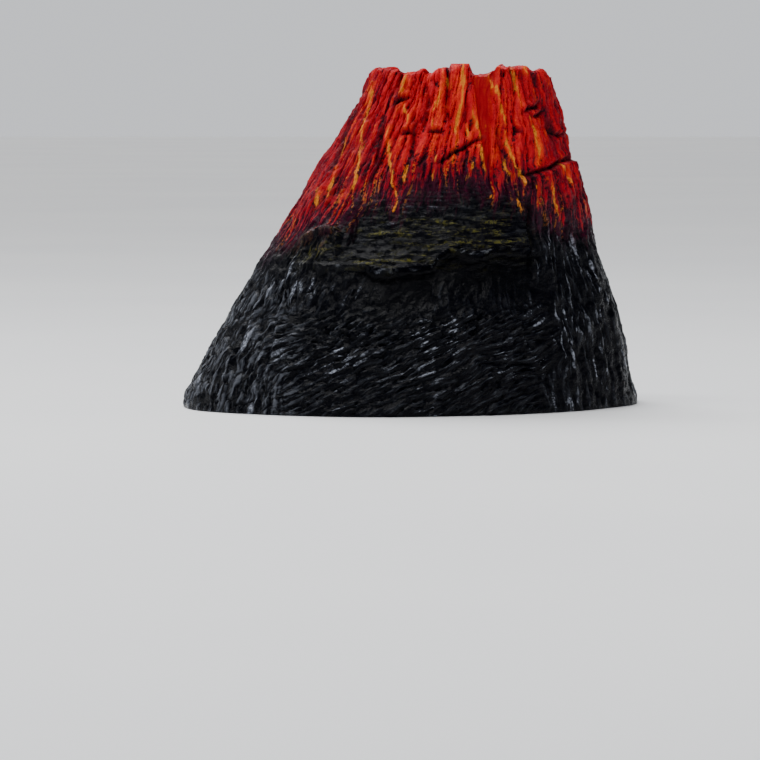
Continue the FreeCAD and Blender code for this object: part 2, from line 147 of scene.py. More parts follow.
class FinishColours(PropertyGroup):
    """Finishes of the bubbler."""

    plastic: colour("Black plastic", "Moulded housing", (0.0085, 0.0088, 0.0095))
    plastic_bloom: colour("Plastic bloom", "Paler patches on it", (0.019, 0.0195, 0.021))
    plastic_worn: colour("Worn plastic", "Rubbed edges", (0.075, 0.076, 0.080))
    steel: colour("Steel", "Screws", (0.56, 0.57, 0.58))
    steel_dull: colour("Dull steel", "Duller patches on the screws", (0.42, 0.42, 0.42))
    lens: colour("Lens", "Clear window", (0.93, 0.96, 0.97))
    lens_haze: colour("Lens haze", "Slight haze in it", (0.86, 0.90, 0.92))
    rubber: colour("Rubber", "Seals and gland", (0.0095, 0.0095, 0.0105))
    rubber_bloom: colour("Rubber bloom", "Grey bloom on the rubber", (0.032, 0.032, 0.034))
    nylon: colour("Nylon", "Hose tail", (0.26, 0.27, 0.28))
    nylon_mottle: colour("Nylon mottle", "Paler patches on it", (0.36, 0.37, 0.38))
    mask: colour("Solder mask", "Green of the board", (0.006, 0.072, 0.026))
    mask_mottle: colour("Mask mottle", "Unevenness of the green", (0.008, 0.092, 0.034))
    mask_track: colour("Mask over copper", "Green over the tracks", (0.020, 0.165, 0.055))
    solder: colour("Solder", "Tin", (0.60, 0.60, 0.58))
    solder_dull: colour("Dull solder", "Frosted patches", (0.44, 0.44, 0.43))
    diode: colour("Diode", "White body", (0.70, 0.69, 0.65))
    diode_shade: colour("Diode shade", "Its darker patches", (0.55, 0.53, 0.48))
    dome: colour("Dome", "Tinted dome", (0.62, 0.045, 0.020))
    dome_core: colour("Dome core", "Chip under the dome", (0.85, 0.42, 0.08))
    resistor: colour("Resistor", "Black chip", (0.010, 0.010, 0.011))
    resistor_mottle: colour("Resistor mottle", "Its unevenness", (0.020, 0.020, 0.022))
    epoxy: colour("Epoxy", "Potting resin", (0.012, 0.010, 0.009))
    epoxy_mottle: colour("Epoxy mottle", "Its unevenness", (0.026, 0.021, 0.018))
    stone: colour("Stone", "Sintered grains", (0.23, 0.24, 0.25))
    stone_pale: colour("Pale stone", "Paler grains", (0.42, 0.43, 0.43))
    # painted shade: darker between the sintered grains
    stone_pit: colour("Stone pit", "Between the grains", (0.055, 0.058, 0.062))
    vinyl: colour("Vinyl", "Suction cups", (0.80, 0.83, 0.82))
    vinyl_cloud: colour("Vinyl cloud", "Cloudy patches", (0.62, 0.65, 0.65))


class StageSizes(PropertyGroup):
    """Floor, camera and lights."""

    floor_size: FloatProperty(name="Floor size", description="Side of the floor", default=14.0,
                              min=1.0, unit="LENGTH")
    camera_distance: FloatProperty(name="Camera distance", description="From the crater's plane",
                                   default=1.5, min=0.2, unit="LENGTH")
    camera_height: FloatProperty(name="Camera height", description="Above the floor",
                                 default=0.105, min=0.0, unit="LENGTH")
    camera_side: FloatProperty(name="Camera side", description="From the middle of the foot",
                               default=-0.0108, unit="LENGTH")
    camera_pitch: FloatProperty(name="Camera pitch", description="Downward tilt",
                                default=math.radians(3.7), subtype="ANGLE", unit="ROTATION")
    lens: FloatProperty(name="Lens", description="Focal length in millimetres", default=211.0,
                        min=10.0)


# ---- Shaping ---------------------------------------------------------------------------------------

MERGE = 1e-7                         # metres: closer points are one point
ALONG_Y = (-math.pi / 2, 0.0, 0.0)   # turns a piece made along +Z to lie along +Y


def deselect():
    bpy.ops.object.select_all(action="DESELECT")


def select_only(piece):
    deselect()
    piece.select_set(True)
    bpy.context.view_layer.objects.active = piece


def start_edit():
    bpy.ops.object.mode_set(mode="EDIT")


def end_edit():
    bpy.ops.object.mode_set(mode="OBJECT")


def take_active(name):
    """The object that an operator has just made, with its name set."""
    piece = bpy.context.active_object
    piece.name = name
    piece.data.name = name
    return piece


def place(piece, spot=None, turn=None):
    """Puts a piece's place, turn and scale into its mesh, after moving it if a spot is given."""
    if spot is not None:
        piece.location = spot
    if turn is not None:
        piece.rotation_euler = turn
    select_only(piece)
    bpy.ops.object.transform_apply(location=True, rotation=True, scale=True)


def apply_modifier(piece, kind, **settings):
    modifier = piece.modifiers.new(kind.lower(), kind)
    for key, value in settings.items():
        setattr(modifier, key, value)
    select_only(piece)
    bpy.ops.object.modifier_apply(modifier=modifier.name)


def smooth(piece, degrees=35):
    select_only(piece)
    bpy.ops.object.shade_smooth_by_angle(angle=math.radians(degrees))


def soften(piece, width, segments=3):
    """Rounds the sharp edges of a piece, width in mm, and shades the rest smooth."""
    apply_modifier(piece, "BEVEL", width=width * MM, segments=segments, limit_method="ANGLE",
                   angle_limit=math.radians(28))
    smooth(piece)


def close_skin(piece):
    """Merges the doubles along the seams and turns every face outwards."""
    select_only(piece)
    start_edit()
    bpy.ops.mesh.select_all(action="SELECT")
    bpy.ops.mesh.remove_doubles(threshold=MERGE)
    bpy.ops.mesh.normals_make_consistent(inside=False)
    end_edit()


def copy_piece(piece, name):
    """A copy with its own mesh."""
    twin = piece.copy()
    twin.data = piece.data.copy()
    twin.name = name
    twin.data.name = name
    bpy.context.scene.collection.objects.link(twin)
    return twin


def turned(name, stations, segments=72, poles=False):
    """A piece turned about Z from (radius, height) stations in mm, each one an extruded ring.

    The profile closes on itself, or ends at two poles on the axis.
    """
    radius, height = stations[0]
    deselect()
    bpy.ops.mesh.primitive_circle_add(vertices=segments, radius=radius * MM,
                                      location=(0, 0, height * MM))
    piece = take_active(name)
    place(piece)
    start_edit()
    bpy.ops.mesh.select_all(action="SELECT")
    for next_radius, next_height in stations[1:] + ([] if poles else stations[:1]):
        rise = (next_height - height) * MM
        size = next_radius / radius
        bpy.ops.mesh.extrude_edges_move(TRANSFORM_OT_translate={"value": (0, 0, rise)})
        bpy.ops.transform.resize(value=(size, size, 1), center_override=(0, 0, 0))
        radius, height = next_radius, next_height
    if poles:
        bpy.ops.mesh.merge(type="COLLAPSE")
        end_edit()
        for vertex in piece.data.vertices:
            vertex.select = vertex.index < segments
        start_edit()
        bpy.ops.mesh.merge(type="COLLAPSE")
    end_edit()
    close_skin(piece)
    return piece


def finish(piece, body, nodes=(), material=None):
    """Gives a finished piece its material, its body and the nodes that it stands for."""
    if material is not None:
        piece.data.materials.clear()
        piece.data.materials.append(material)
    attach(piece, body)
    if nodes:
        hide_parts(*nodes)


def smooth_step(low, high, value):
    t = np.clip((value - low) / (high - low), 0.0, 1.0)
    return t * t * (3 - 2 * t)


def put_attribute(piece, name, values):
    """Stores a number or a vector for each vertex."""
    kind, key = ("FLOAT_VECTOR", "vector") if values.ndim == 2 else ("FLOAT", "value")
    attribute = piece.data.attributes.new(name, kind, "POINT")
    attribute.data.foreach_set(key, values.astype(np.float32).ravel())


# ---- Sizes read from the frame -------------------------------------------------------------------------

def middle_of(node):
    low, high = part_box(node)
    return (low + high) / 2


def from_axis(node):
    """Outer radius and top height of a round node, in mm."""
    low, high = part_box(node)
    return (high.x - low.x) / 2 / MM, high.z / MM


def underside_of(node):
    """Height of a node's underside, in mm."""
    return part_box(node)[0].z / MM


# ---- Shader helpers --------------------------------------------------------------------------------

class Tree:
    """Adds nodes to a node tree and joins them."""

    def __init__(self, tree):
        self.tree = tree

    def node(self, kind, inputs=None, **settings):
        made = self.tree.nodes.new(kind)
        for key, value in settings.items():
            setattr(made, key, value)
        for key, value in (inputs or {}).items():
            self.feed(made, key, value)
        return made

    def feed(self, node, key, value):
        """Links a socket, or sets a plain value, on an input."""
        socket = node.inputs[key]
        if isinstance(value, bpy.types.NodeSocket):
            self.tree.links.new(value, socket)
        else:
            socket.default_value = value

    def math(self, operation, a, b=0.0, c=0.0, clamp=False):
        made = self.node("ShaderNodeMath", {0: a, 1: b, 2: c}, operation=operation)
        made.use_clamp = clamp
        return made.outputs[0]

    def times(self, *values):
        product = values[0]
        for value in values[1:]:
            product = self.math("MULTIPLY", product, value)
        return product

    def add(self, value, factor, base):
        """base + value * factor."""
        return self.math("MULTIPLY_ADD", value, factor, base)

    def swing(self, noise_value, amount, base=0.0):
        """A base value, swung up and down by a noise about its middle."""
        return self.add(self.math("SUBTRACT", noise_value, 0.5), amount, base)

    def size(self, value):
        return self.math("ABSOLUTE", value)

    def apart(self, a, b):
        return self.size(self.math("SUBTRACT", a, b))

    def most(self, a, b):
        return self.math("MAXIMUM", a, b)

    def steps(self, value, low, high, out_low=0.0, out_high=1.0):
        """Smooth ramp of a value between two limits."""
        made = self.node("ShaderNodeMapRange", {
            "Value": value, "From Min": low, "From Max": high, "To Min": out_low,
            "To Max": out_high}, interpolation_type="SMOOTHSTEP")
        return made.outputs["Result"]

    def mix(self, factor, a, b):
        """Colour mix."""
        made = self.node("ShaderNodeMix", data_type="RGBA")
        made.clamp_factor = True
        for index, value in ((0, factor), (6, a), (7, b)):
            if isinstance(value, bpy.types.NodeSocket):
                self.tree.links.new(value, made.inputs[index])
            elif index:
                made.inputs[index].default_value = (*value, 1.0)
            else:
                made.inputs[index].default_value = value
        return made.outputs[2]

    def within(self, away, reach, soft=0.1):
        """1 inside a reach and 0 outside it, with a soft edge; reach and soft are mm."""
        return self.steps(away, reach * MM, (reach - soft) * MM)

    def blend(self, factor, a, b):
        """Number mix."""
        made = self.node("ShaderNodeMix", {0: factor, 2: a, 3: b}, data_type="FLOAT")
        return made.outputs[0]

    def stretch(self, vector, scale, move=(0.0, 0.0, 0.0)):
        made = self.node("ShaderNodeMapping", {"Vector": vector, "Location": move, "Scale": scale})
        return made.outputs["Vector"]

    def noise(self, vector, scale, detail=4.0, roughness=0.6, distortion=0.0, ridged=False):
        made = self.node("ShaderNodeTexNoise", {
            "Vector": vector, "Scale": scale, "Detail": detail, "Roughness": roughness,
            "Distortion": distortion})
        if ridged:
            made.noise_type = "RIDGED_MULTIFRACTAL"
            made.inputs["Offset"].default_value = 0.9
            made.inputs["Gain"].default_value = 1.6
        return made.outputs["Fac"]

    def attribute(self, name, output="Fac"):
        return self.node("ShaderNodeAttribute", attribute_name=name).outputs[output]

    def group(self, group, **values):
        made = self.node("ShaderNodeGroup", node_tree=group)
        for key, value in values.items():
            self.feed(made, key.replace("_", " ").capitalize(), value)
        return made


def new_material(name, **sockets):
    """A material with one Principled shader, whose constants are set on its own sockets."""
    material = bpy.data.materials.new(name)
    material.use_nodes = True
    material.node_tree.nodes.clear()
    tree = Tree(material.node_tree)
    shader = tree.node("ShaderNodeBsdfPrincipled")
    for key, value in sockets.items():
        shader.inputs[key.replace("_", " ")].default_value = value
    output = tree.node("ShaderNodeOutputMaterial")
    tree.tree.links.new(shader.outputs["BSDF"], output.inputs["Surface"])
    return material, tree, shader


def new_group(name, inputs, outputs):
    """Node group with (name, socket type, default) inputs and (name, socket type) outputs."""
    group = bpy.data.node_groups.new(name, "ShaderNodeTree")
    for label, kind, default in inputs:
        socket = group.interface.new_socket(name=label, in_out="INPUT", socket_type=kind)
        if default is not None:
            socket.default_value = default
    for label, kind in outputs:
        group.interface.new_socket(name=label, in_out="OUTPUT", socket_type=kind)
    tree = Tree(group)
    source = tree.node("NodeGroupInput")
    sink = tree.node("NodeGroupOutput")
    return group, tree, source.outputs, sink


# ---- Rock: its shape before the relief ---------------------------------------------------------------

FLAT_TURN = math.radians(18.0)     # the foot's long axis, turned about Z
ASPECT = 1.29                      # long to short half axis of every outline
GRAIN_RADIUS = 46.0                # radius, in mm, on which the grain is unrolled
SLOPE_STRETCH = 1.12               # length of the slope for each mm of height
PROBE_LOW, PROBE_HIGH = 24.0, 106.0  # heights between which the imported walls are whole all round
PROBE_STEP = 2.0
FAR = 0.3                          # metres, outside the rock
FRONT_CROWDING = 0.38              # how much closer the columns stand at the front
LEAN_BOW = 0.03                    # bow of the line of middles, as a share of its lean
ARCH_MISS = 3.5                    # mm off the wall's line: the ray went through the arch
CREST_ROWS, CREST_SQUARENESS = 9, 0.7
UNDERSIDE_ROWS = 3

# crater edge: (X from the crater's axis, drop below the highest point), mm
RIM_FRONT = [(-31, 3.2), (-29.6, 1.7), (-28, 0.9), (-23, 0.8), (-20.5, 1.4), (-18.4, 3.0),
             (-15.5, 2.5), (-13.2, 1.5), (-12.2, 1.8), (-11.2, 3.3), (-10.2, 2.9), (-8.0, 1.8),
             (-6, 1.3), (-3, 0.7), (0.5, 0.0), (1.8, 0.3), (3.2, 2.6), (5.6, 2.9), (8.5, 2.6),
             (10.0, 1.0), (12, 0.4), (14.8, 0.6), (17.0, 0.2), (21, 0.6), (23.2, 1.8), (25.5, 2.2),
             (27.5, 1.6), (29.4, 1.9), (31, 3.5)]
RIM_BACK = [(-31, 3.4), (-25, 2.6), (-19, 5.2), (-13, 4.6), (-10, 5.4), (-6, 3.8), (-2, 3.0),
            (3, 5.6), (9, 4.8), (13, 3.0), (19, 2.4), (25, 4.6), (28, 4.0), (31, 3.6)]


def column_directions(count):
    """Angle of each column from the front, and its unit direction seen from above.

    More than half of the columns lie on the front half.
    """
    share = np.arange(count) / count
    alpha = 2 * math.pi * share - math.pi
    alpha = alpha - FRONT_CROWDING * np.sin(alpha)
    around = alpha - math.pi / 2 - FLAT_TURN
    u, v = ASPECT * np.cos(around), np.sin(around)
    x = u * math.cos(FLAT_TURN) - v * math.sin(FLAT_TURN)
    y = u * math.sin(FLAT_TURN) + v * math.cos(FLAT_TURN)
    size = np.hypot(x, y)
    return alpha, np.stack([x / size, y / size], axis=1)


def centre_at(z):
    """Middle of the outline at height z, in mm: it leans from the foot's middle to the crater."""
    t = np.asarray(z) / CASTING_TOP
    share = t - LEAN_BOW * np.sin(2 * math.pi * t)
    return np.stack([AXIS_X / MM * share, AXIS_Y / MM * share], axis=-1)


def probe_walls(directions):
    """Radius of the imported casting's outer and inner wall, per column, at the probed heights."""
    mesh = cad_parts["volcano_casting"].data
    tree = BVHTree.FromPolygons([v.co for v in mesh.vertices], [p.vertices for p in mesh.polygons])
    heights = np.concatenate([np.arange(1.0, PROBE_LOW, PROBE_STEP),
                              np.arange(PROBE_LOW, PROBE_HIGH + PROBE_STEP / 2, PROBE_STEP)])
    outer = np.zeros((len(directions), len(heights)))
    inner = np.zeros_like(outer)
    for k, z in enumerate(heights):
        cx, cy = centre_at(z) * MM
        for i, (dx, dy) in enumerate(directions):
            way = Vector((dx, dy, 0))
            centre = Vector((cx, cy, z * MM))
            hit = tree.ray_cast(centre + way * FAR, -way)[0]
            outer[i, k] = (hit - centre).length / MM
            hit = tree.ray_cast(centre, way)[0]
            inner[i, k] = (hit - centre).length / MM if hit else 0.0
    return heights, mend_arch(heights, outer), mend_arch(heights, inner)


def mend_arch(heights, radius):
    """Fills the rays that passed through the arch at the back, in line with the wall above it."""
    k0 = int(np.searchsorted(heights, PROBE_LOW))
    k1 = int(np.searchsorted(heights, PROBE_LOW + 4 * PROBE_STEP))
    slope = (radius[:, k1] - radius[:, k0]) / (heights[k1] - heights[k0])
    for k in range(k0):
        expected = radius[:, k0] + slope * (heights[k] - heights[k0])
        wrong = np.abs(radius[:, k] - expected) > ARCH_MISS
        radius[:, k] = np.where(wrong, expected, radius[:, k])
    return radius


def radius_at(heights, table, z):
    """Radius of each column at height z, carried on straight beyond the probed heights."""
    step = int(np.clip(np.searchsorted(heights, z), 1, len(heights) - 1))
    low, high = heights[step - 1], heights[step]
    a, b = table[:, step - 1], table[:, step]
    return a + (b - a) * (z - low) / (high - low)


def lower_rim(points):
    """Lets the top of the wall down to the crater's broken edge."""
    x = points[..., 0] - AXIS_X / MM
    front = np.interp(x, *zip(*RIM_FRONT))
    back = np.interp(x, *zip(*RIM_BACK))
    drop = back + (front - back) * smooth_step(3.0, -6.0, points[..., 1] - AXIS_Y / MM)
    points[..., 2] -= drop * smooth_step(CASTING_TOP - 20.0, CASTING_TOP - 3.0, points[..., 2])


def rock_rings(sizes):
    """Rings of points, in mm, that go up the flank, over the crest, down the inside and back.

    Returns the points (rings, columns, 3), the columns' angles, and what part each ring is.
    """
    alpha, directions = column_directions(sizes.columns)
    heights, outer, inner = probe_walls(directions)
    crest = sizes.crest_round / MM
    edge = CASTING_TOP - crest
    rings, parts = [], []

    def ring(z, radius, part):
        level = np.full((len(directions), 1), z)
        rings.append(np.hstack([centre_at(z) + directions * radius[:, None], level]))
        parts.append(part)

    for j in range(sizes.flank_rows + 1):
        z = edge * j / sizes.flank_rows
        ring(z, radius_at(heights, outer, z), "flank")
    a, b = radius_at(heights, outer, edge), radius_at(heights, inner, edge)
    for j in range(1, CREST_ROWS):
        turn = math.pi * j / CREST_ROWS
        share = (1 - math.cos(turn)) / 2
        ring(edge + crest * math.sin(turn) ** CREST_SQUARENESS, a + (b - a) * share, "crest")
    for j in range(sizes.inner_rows + 1):
        z = edge * (1 - j / sizes.inner_rows)
        ring(z, radius_at(heights, inner, z), "inside")
    a, b = radius_at(heights, inner, 0.0), radius_at(heights, outer, 0.0)
    for j in range(1, UNDERSIDE_ROWS):
        ring(0.0, a + (b - a) * j / UNDERSIDE_ROWS, "underside")
    points = np.array(rings)
    lower_rim(points)
    return points, alpha, np.array(parts)


def profile_climb(points, parts):
    """How far each point is up the slope, in mm; past the flank, by the length along the wall."""
    climb = points[:, :, 2] * SLOPE_STRETCH
    last = int(np.flatnonzero(parts == "flank")[-1])
    steps = np.linalg.norm(np.diff(points[last:], axis=0), axis=2)
    climb[last + 1:] = climb[last] + np.cumsum(steps, axis=0)
    return climb


def ring_normals(points):
    """Outward normal at each point of the closed net of rings."""
    along = np.roll(points, -1, axis=1) - np.roll(points, 1, axis=1)
    up = np.roll(points, -1, axis=0) - np.roll(points, 1, axis=0)
    normal = np.cross(along, up)
    return normal / np.linalg.norm(normal, axis=2, keepdims=True)


# ---- Rock: relief --------------------------------------------------------------------------------------

LAYOUT_EYE = (-10.8, -1500.0, 105.0)  # the front's features are laid out as seen from here, mm
FAR_AWAY = 9.0                        # distance given to a line's place on the back, mm

# features of the front face, as (x, z) points in mm
CHANNEL = [(24.0, 116), (24.2, 100), (24.8, 90), (25.4, 82), (26.8, 76), (27.7, 71)]
CHANNEL_WIDTHS = [(0.0, 5.4), (0.35, 2.9), (0.62, 1.5), (1.0, 0.8)]
GROOVES = [
    [(-2.6, 115), (-4.4, 108), (-5.8, 102), (-7.5, 95)],
    [(5.4, 106), (5.2, 100), (4.4, 93), (3.4, 87)],
    [(12.4, 115), (12.0, 105), (11.2, 96), (10.4, 90)],
    [(33.4, 116), (34.0, 108), (35.0, 101)],
    [(-15.2, 110), (-19.5, 98), (-26, 82), (-30, 72)],
    [(-9.4, 96), (-11.6, 84), (-13.2, 72)],
    [(0.8, 97), (0.2, 86), (-0.4, 77)],
    [(29.0, 93), (29.8, 86), (30.8, 79), (31.2, 74)],
    [(40.6, 112), (42.0, 105)],
    [(45.6, 95), (46.8, 88)],
    [(20.2, 96), (19.4, 90)],
    [(-22, 90), (-29, 74)],
    [(38.6, 69), (39.6, 60), (40.6, 50), (41.2, 40), (41, 33)],
    [(-19, 63), (-20, 55), (-22, 49)],
]
CRACKS = [
    [(8.8, 81.0), (11.6, 82.6), (14.2, 84.9), (17.0, 85.9), (20.4, 88.4), (23.8, 89.6)],
    [(-6.5, 100.5), (-4.4, 102.2), (-1.2, 103.1)],
    [(36.8, 97.8), (38.6, 99.4), (41.2, 99.9), (43.4, 102.2)],
    [(39.6, 96.4), (41.6, 97.0), (44.2, 98.4)],
    [(36.4, 77.2), (38.6, 77.0), (42.2, 78.4), (45.6, 79.2), (48.4, 81.2), (52.0, 82.2), (56, 83.6)],
    [(5.6, 91.4), (8.4, 91.9), (10.2, 91.0)],
    [(45.2, 93.6), (47.6, 91.4), (51.2, 89.8)],
    [(-3.0, 90.8), (-1.4, 91.6), (0.4, 91.0)],
    [(34.0, 92.6), (36.0, 91.2)],
]
LEDGE = [(-40, 46.5), (-30, 46.0), (-17, 46.3), (-12, 44.8), (-8, 44.3), (-3, 45.4), (3, 45.8),
         (7.4, 46.8), (9.4, 49.8), (11.4, 51.8), (15.8, 52.2), (19, 50.6), (23, 50.3), (27, 51.8),
         (32, 52.4), (42, 51.0)]
ARCH = [(-36, 54.5), (-33.4, 56.6), (-30.5, 57.6), (-27.8, 59.0), (-25.4, 58.4), (-24.3, 55.2),
        (-24.9, 51.0)]
LAVA_EDGE = [(-80, 52), (-50, 55), (-40, 59), (-30, 62.5), (-20, 64.5), (-15.5, 71), (-9, 71.5),
             (-5.4, 67), (-1, 74.0), (8, 74.5), (17, 75.5), (25.5, 74.5), (27.6, 70.0), (30, 75),
             (35, 74.0), (37.5, 71), (42, 67), (48, 63.5), (60, 61.5), (80, 58)]
RUNS = [
    [(-12.9, 108.5), (-14.2, 102), (-16.2, 93.5), (-16.8, 86), (-18.3, 77.5), (-20.2, 64.0)],
    [(-1.1, 113.0), (-2.6, 108.0), (-3.8, 104.0)],
    [(-2.6, 100.5), (-1.2, 96.5), (-1.6, 93)],
    [(-7.0, 93.0), (-8.2, 90.0), (-7.0, 81.5), (-6.0, 72.0), (-4.6, 66.5)],
    [(9.6, 108.0), (9.4, 104.0), (7.0, 98.0), (6.8, 92.0)],
    [(11.8, 109.5), (12.4, 106.5)],
    [(8.4, 84.5), (7.6, 79.5), (6.9, 75.0)],
    [(17.2, 115.0), (17.0, 108.0), (16.6, 102.0), (15.2, 96.0), (14.4, 90.0), (13.4, 81.0)],
    [(18.9, 101.0), (21.0, 95.5), (23.0, 89.5)],
    [(18.0, 94.0), (19.2, 89.0)],
    [(24.0, 113.5), (26.4, 109.5), (28.8, 103.8), (29.8, 99.2), (31.2, 94.5)],
    [(33.4, 115.0), (34.6, 108.0), (36.4, 100.5)],
    [(37.2, 115.5), (38.4, 110.5)],
    [(31.2, 91.5), (31.6, 87.2), (33.6, 82.4), (35.8, 77.4), (37.0, 71.0)],
    [(30.8, 83), (31.4, 79.2), (33.4, 76.0)],
    [(38.6, 96.5), (40.8, 91.0), (41.8, 84.0), (41.6, 80.5)],
    [(20.5, 86.6), (22.6, 87.0), (24.2, 82.6), (24.8, 76.5)],
    [(20.6, 81.0), (18.2, 75.0)],
    [(40.7, 74.0), (42.0, 68.4), (42.9, 63.0)],
    [(43.6, 75.2), (45.4, 71.6), (47.2, 66), (48.4, 62.0)],
    [(48.3, 80.5), (49.6, 77.6), (51.4, 74.0)],
    [(27.0, 70.6), (25.5, 69.0), (23.3, 68.6)],
    [(-5.0, 68.5), (-6.6, 64.6)],
    [(33.4, 70.4), (35.6, 67.4), (36.6, 62.6)],
    [(-30.0, 73.0), (-32.6, 65.0)],
    [(-25.4, 80.0), (-28.4, 68.0)],
    [(-22.2, 90.0), (-24.4, 83.0)],
    [(-1.4, 80.0), (-2.8, 74.0)],
]

# ridges of the black rock: slanting ones at the foot, long ones down the right flank
STRANDS = [
    [(-39, 12), (-34.5, 16.3), (-30.5, 18.8), (-27, 20.3)],
    [(-34, 11.4), (-32, 13.9), (-27.6, 16.2), (-24.1, 18.3), (-22.6, 19.3)],
    [(-27, 12.4), (-20.6, 14.9), (-14.7, 17.8), (-9.7, 21.3)],
    [(-26, 10.4), (-18.1, 13.4), (-12, 16.8), (-7.3, 20.0)],
    [(-17.2, 10.4), (-10, 11.4), (-7.3, 11.9), (0.6, 14.9)],
    [(-14.7, 7), (-6.3, 9.0), (1, 11.4)],
    [(-12.2, 5.0), (-4.8, 6.0), (1, 7.9)],
    [(-4, 13.7), (1.1, 15.8), (6.3, 17.5), (13, 20.2)],
    [(-4, 10.1), (2.1, 12.2), (11.4, 15.4), (19.2, 18.9), (24.8, 21.2), (27, 22.7)],
    [(-4, 7.0), (3.7, 9.4), (11.4, 12.2), (15.6, 14.2)],
    [(0, 4.2), (8, 7.2), (14, 9.6), (21, 13.2)],
    [(6.3, 2.4), (16.6, 5.0), (26.9, 9.1), (34.6, 12.7)],
    [(-21, 23.9), (-18.4, 22.9), (-15.7, 23.4)],
    [(-1, 23.8), (0.6, 22.6), (2, 21.4)],
    [(3.2, 25.4), (9.4, 26.2), (15.5, 28.2), (19, 29.3), (23.8, 31.8)],
    [(7.0, 22.6), (10.4, 24.2), (14, 24.6)],
    [(-46, 8), (-41, 12.4), (-38, 13.0)],
    [(-44, 20.5), (-40.5, 22.8), (-37, 24.4)],
    [(47.5, 35.4), (49.6, 29.2), (51.6, 24), (53.2, 19.4), (53.7, 12.2)],
    [(52.7, 31.8), (54.7, 26.1), (57.8, 21.5)],
    [(55.8, 32.3), (58.9, 27.1), (60.4, 20.4)],
    [(45.4, 24.6), (48.5, 20.4), (51.1, 13.7), (52.2, 9.1)],
    [(35.7, 28), (36.7, 22.5), (38.7, 19.4), (40.8, 15.3), (43.9, 11.2)],
    [(52.7, 16.3), (54.2, 10.1), (54.6, 5)],
    [(42.7, 69), (44.8, 61.5), (46.3, 48), (47.4, 41.8)],
    [(46.3, 60.5), (49.9, 51.2), (52.5, 41.8), (53.5, 31.5)],
    [(51.5, 60.5), (55.6, 49.1), (57.7, 37.7)],
    [(57, 56), (60.4, 44), (63, 34)],
    [(60, 33), (63, 22), (65, 12)],
    [(-49.3, 38.1), (-52.2, 33.1), (-54.2, 28.2), (-56, 22)],
    [(-44.6, 44), (-47.4, 38), (-49.8, 31)],
    [(-36, 52), (-40, 46), (-42, 40)],
    [(-47.0, 30), (-48.6, 22), (-51.0, 14), (-52.0, 8)],
    [(-43.4, 34), (-45.0, 27), (-45.8, 20), (-48.0, 13)],
    [(-52.6, 27), (-55.2, 20), (-57.4, 13)],
    [(-58.0, 21), (-60.6, 14), (-63.0, 8)],
    [(-39.6, 36), (-41.0, 30), (-41.4, 26)],
    [(-36.4, 42), (-37.6, 36), (-37.4, 31)],
]

# lower edges of the bulge right of the channel's foot and of the swell left of it
LOBE_EDGE = [(34, 77.0), (37, 76.8), (42, 78.2), (48, 80.9), (52, 82.0), (58, 84.0)]
SWELL_EDGE = [(7, 80), (9, 81), (12, 82.8), (14, 84.8), (17, 86), (20, 88), (24, 89), (27, 88)]

# strokes of olive over the beds: (height, from X, to X), mm
OLIVE_STROKES = [(61.5, -3, 17), (61.5, 23, 34), (58, -18, 30), (54, -2, 38), (52.5, 3, 16),
                 (49, -16, 6), (47.5, -21, -6)]


def field(points, size, seed, kind, octaves):
    """Values of a noise at points in mm, with cells of the given size in mm."""
    shift = np.array([seed * 17.3, seed * -9.1, seed * 5.7])
    scaled = points / np.asarray(size, float) + shift
    if kind == "ridged":
        return np.array([noise.ridged_multi_fractal(p, 0.95, 2.2, octaves, 0.92, 1.7,
                                                    noise_basis="PERLIN_ORIGINAL")
                         for p in scaled])
    if kind == "cells":
        return np.array([noise.noise(p, noise_basis="VORONOI_F2F1") for p in scaled])
    return np.array([noise.fractal(p, 0.9, 2.1, octaves, noise_basis="PERLIN_ORIGINAL")
                     for p in scaled])


def sample(points, size, seed, octaves=3):
    """Smooth noise, about -1 to 1."""
    return field(points, size, seed, "smooth", octaves)


def ridges(points, size, seed, octaves=3):
    """Sharp crests with round valleys, 0 to about 1."""
    return field(points, size, seed, "ridged", octaves) / 1.3


def cords(points, size, seed, valley=0.26):
    """Rounded cords that end in points, with sharp valleys between them, 0 to 1."""
    wall = (field(points, size, seed, "cells", 1) + 1) / 2
    return 1 - (1 - np.clip(wall / valley, 0, 1)) ** 2


# layers of each kind of rock: share, noise, size of its cells in mm, seed, octaves
FLUTES = [(0.5, cords, (4.8, 4.8, 46), 5), (0.3, cords, (2.2, 2.2, 15), 6),
          (0.2, ridges, (1.5, 1.5, 5.5), 24, 2)]
SHORT_BARK = [(0.55, cords, (3.6, 3.6, 10), 7), (0.45, ridges, (2.0, 2.0, 5.5), 8, 2)]
LONG_BARK = [(0.55, cords, (3.0, 3.0, 30), 17), (0.45, ridges, (1.8, 1.8, 9.0), 18, 2)]
UPRIGHT_BARK = [(0.6, cords, (2.7, 2.7, 9.0), 27), (0.4, ridges, (1.8, 1.8, 4.5), 28, 2)]
LEVEL_BEDS = [(0.35, ridges, (6.0, 1, 1.4), 20, 3), (0.25, cords, (8.0, 1, 2.0), 29)]
SLANTING_BEDS = [(0.55, cords, (11.0, 1, 2.9), 30), (0.45, ridges, (5.0, 1, 1.7), 11, 3)]
BED_HEIGHT, BED_SLANT = 2.7, 0.45    # mm between level beds, and rise of the slanting ones


def layered(points, layers):
    return sum(share * kind(points, *rest) for share, kind, *rest in layers)


def beds(phase, sharp=0.16):
    """Overlapping beds like roof tiles: each stands proud at its lower edge, 0 to 1."""
    part = phase - np.floor(phase)
    return np.where(part < sharp, part / sharp, (1 - part) / (1 - sharp))


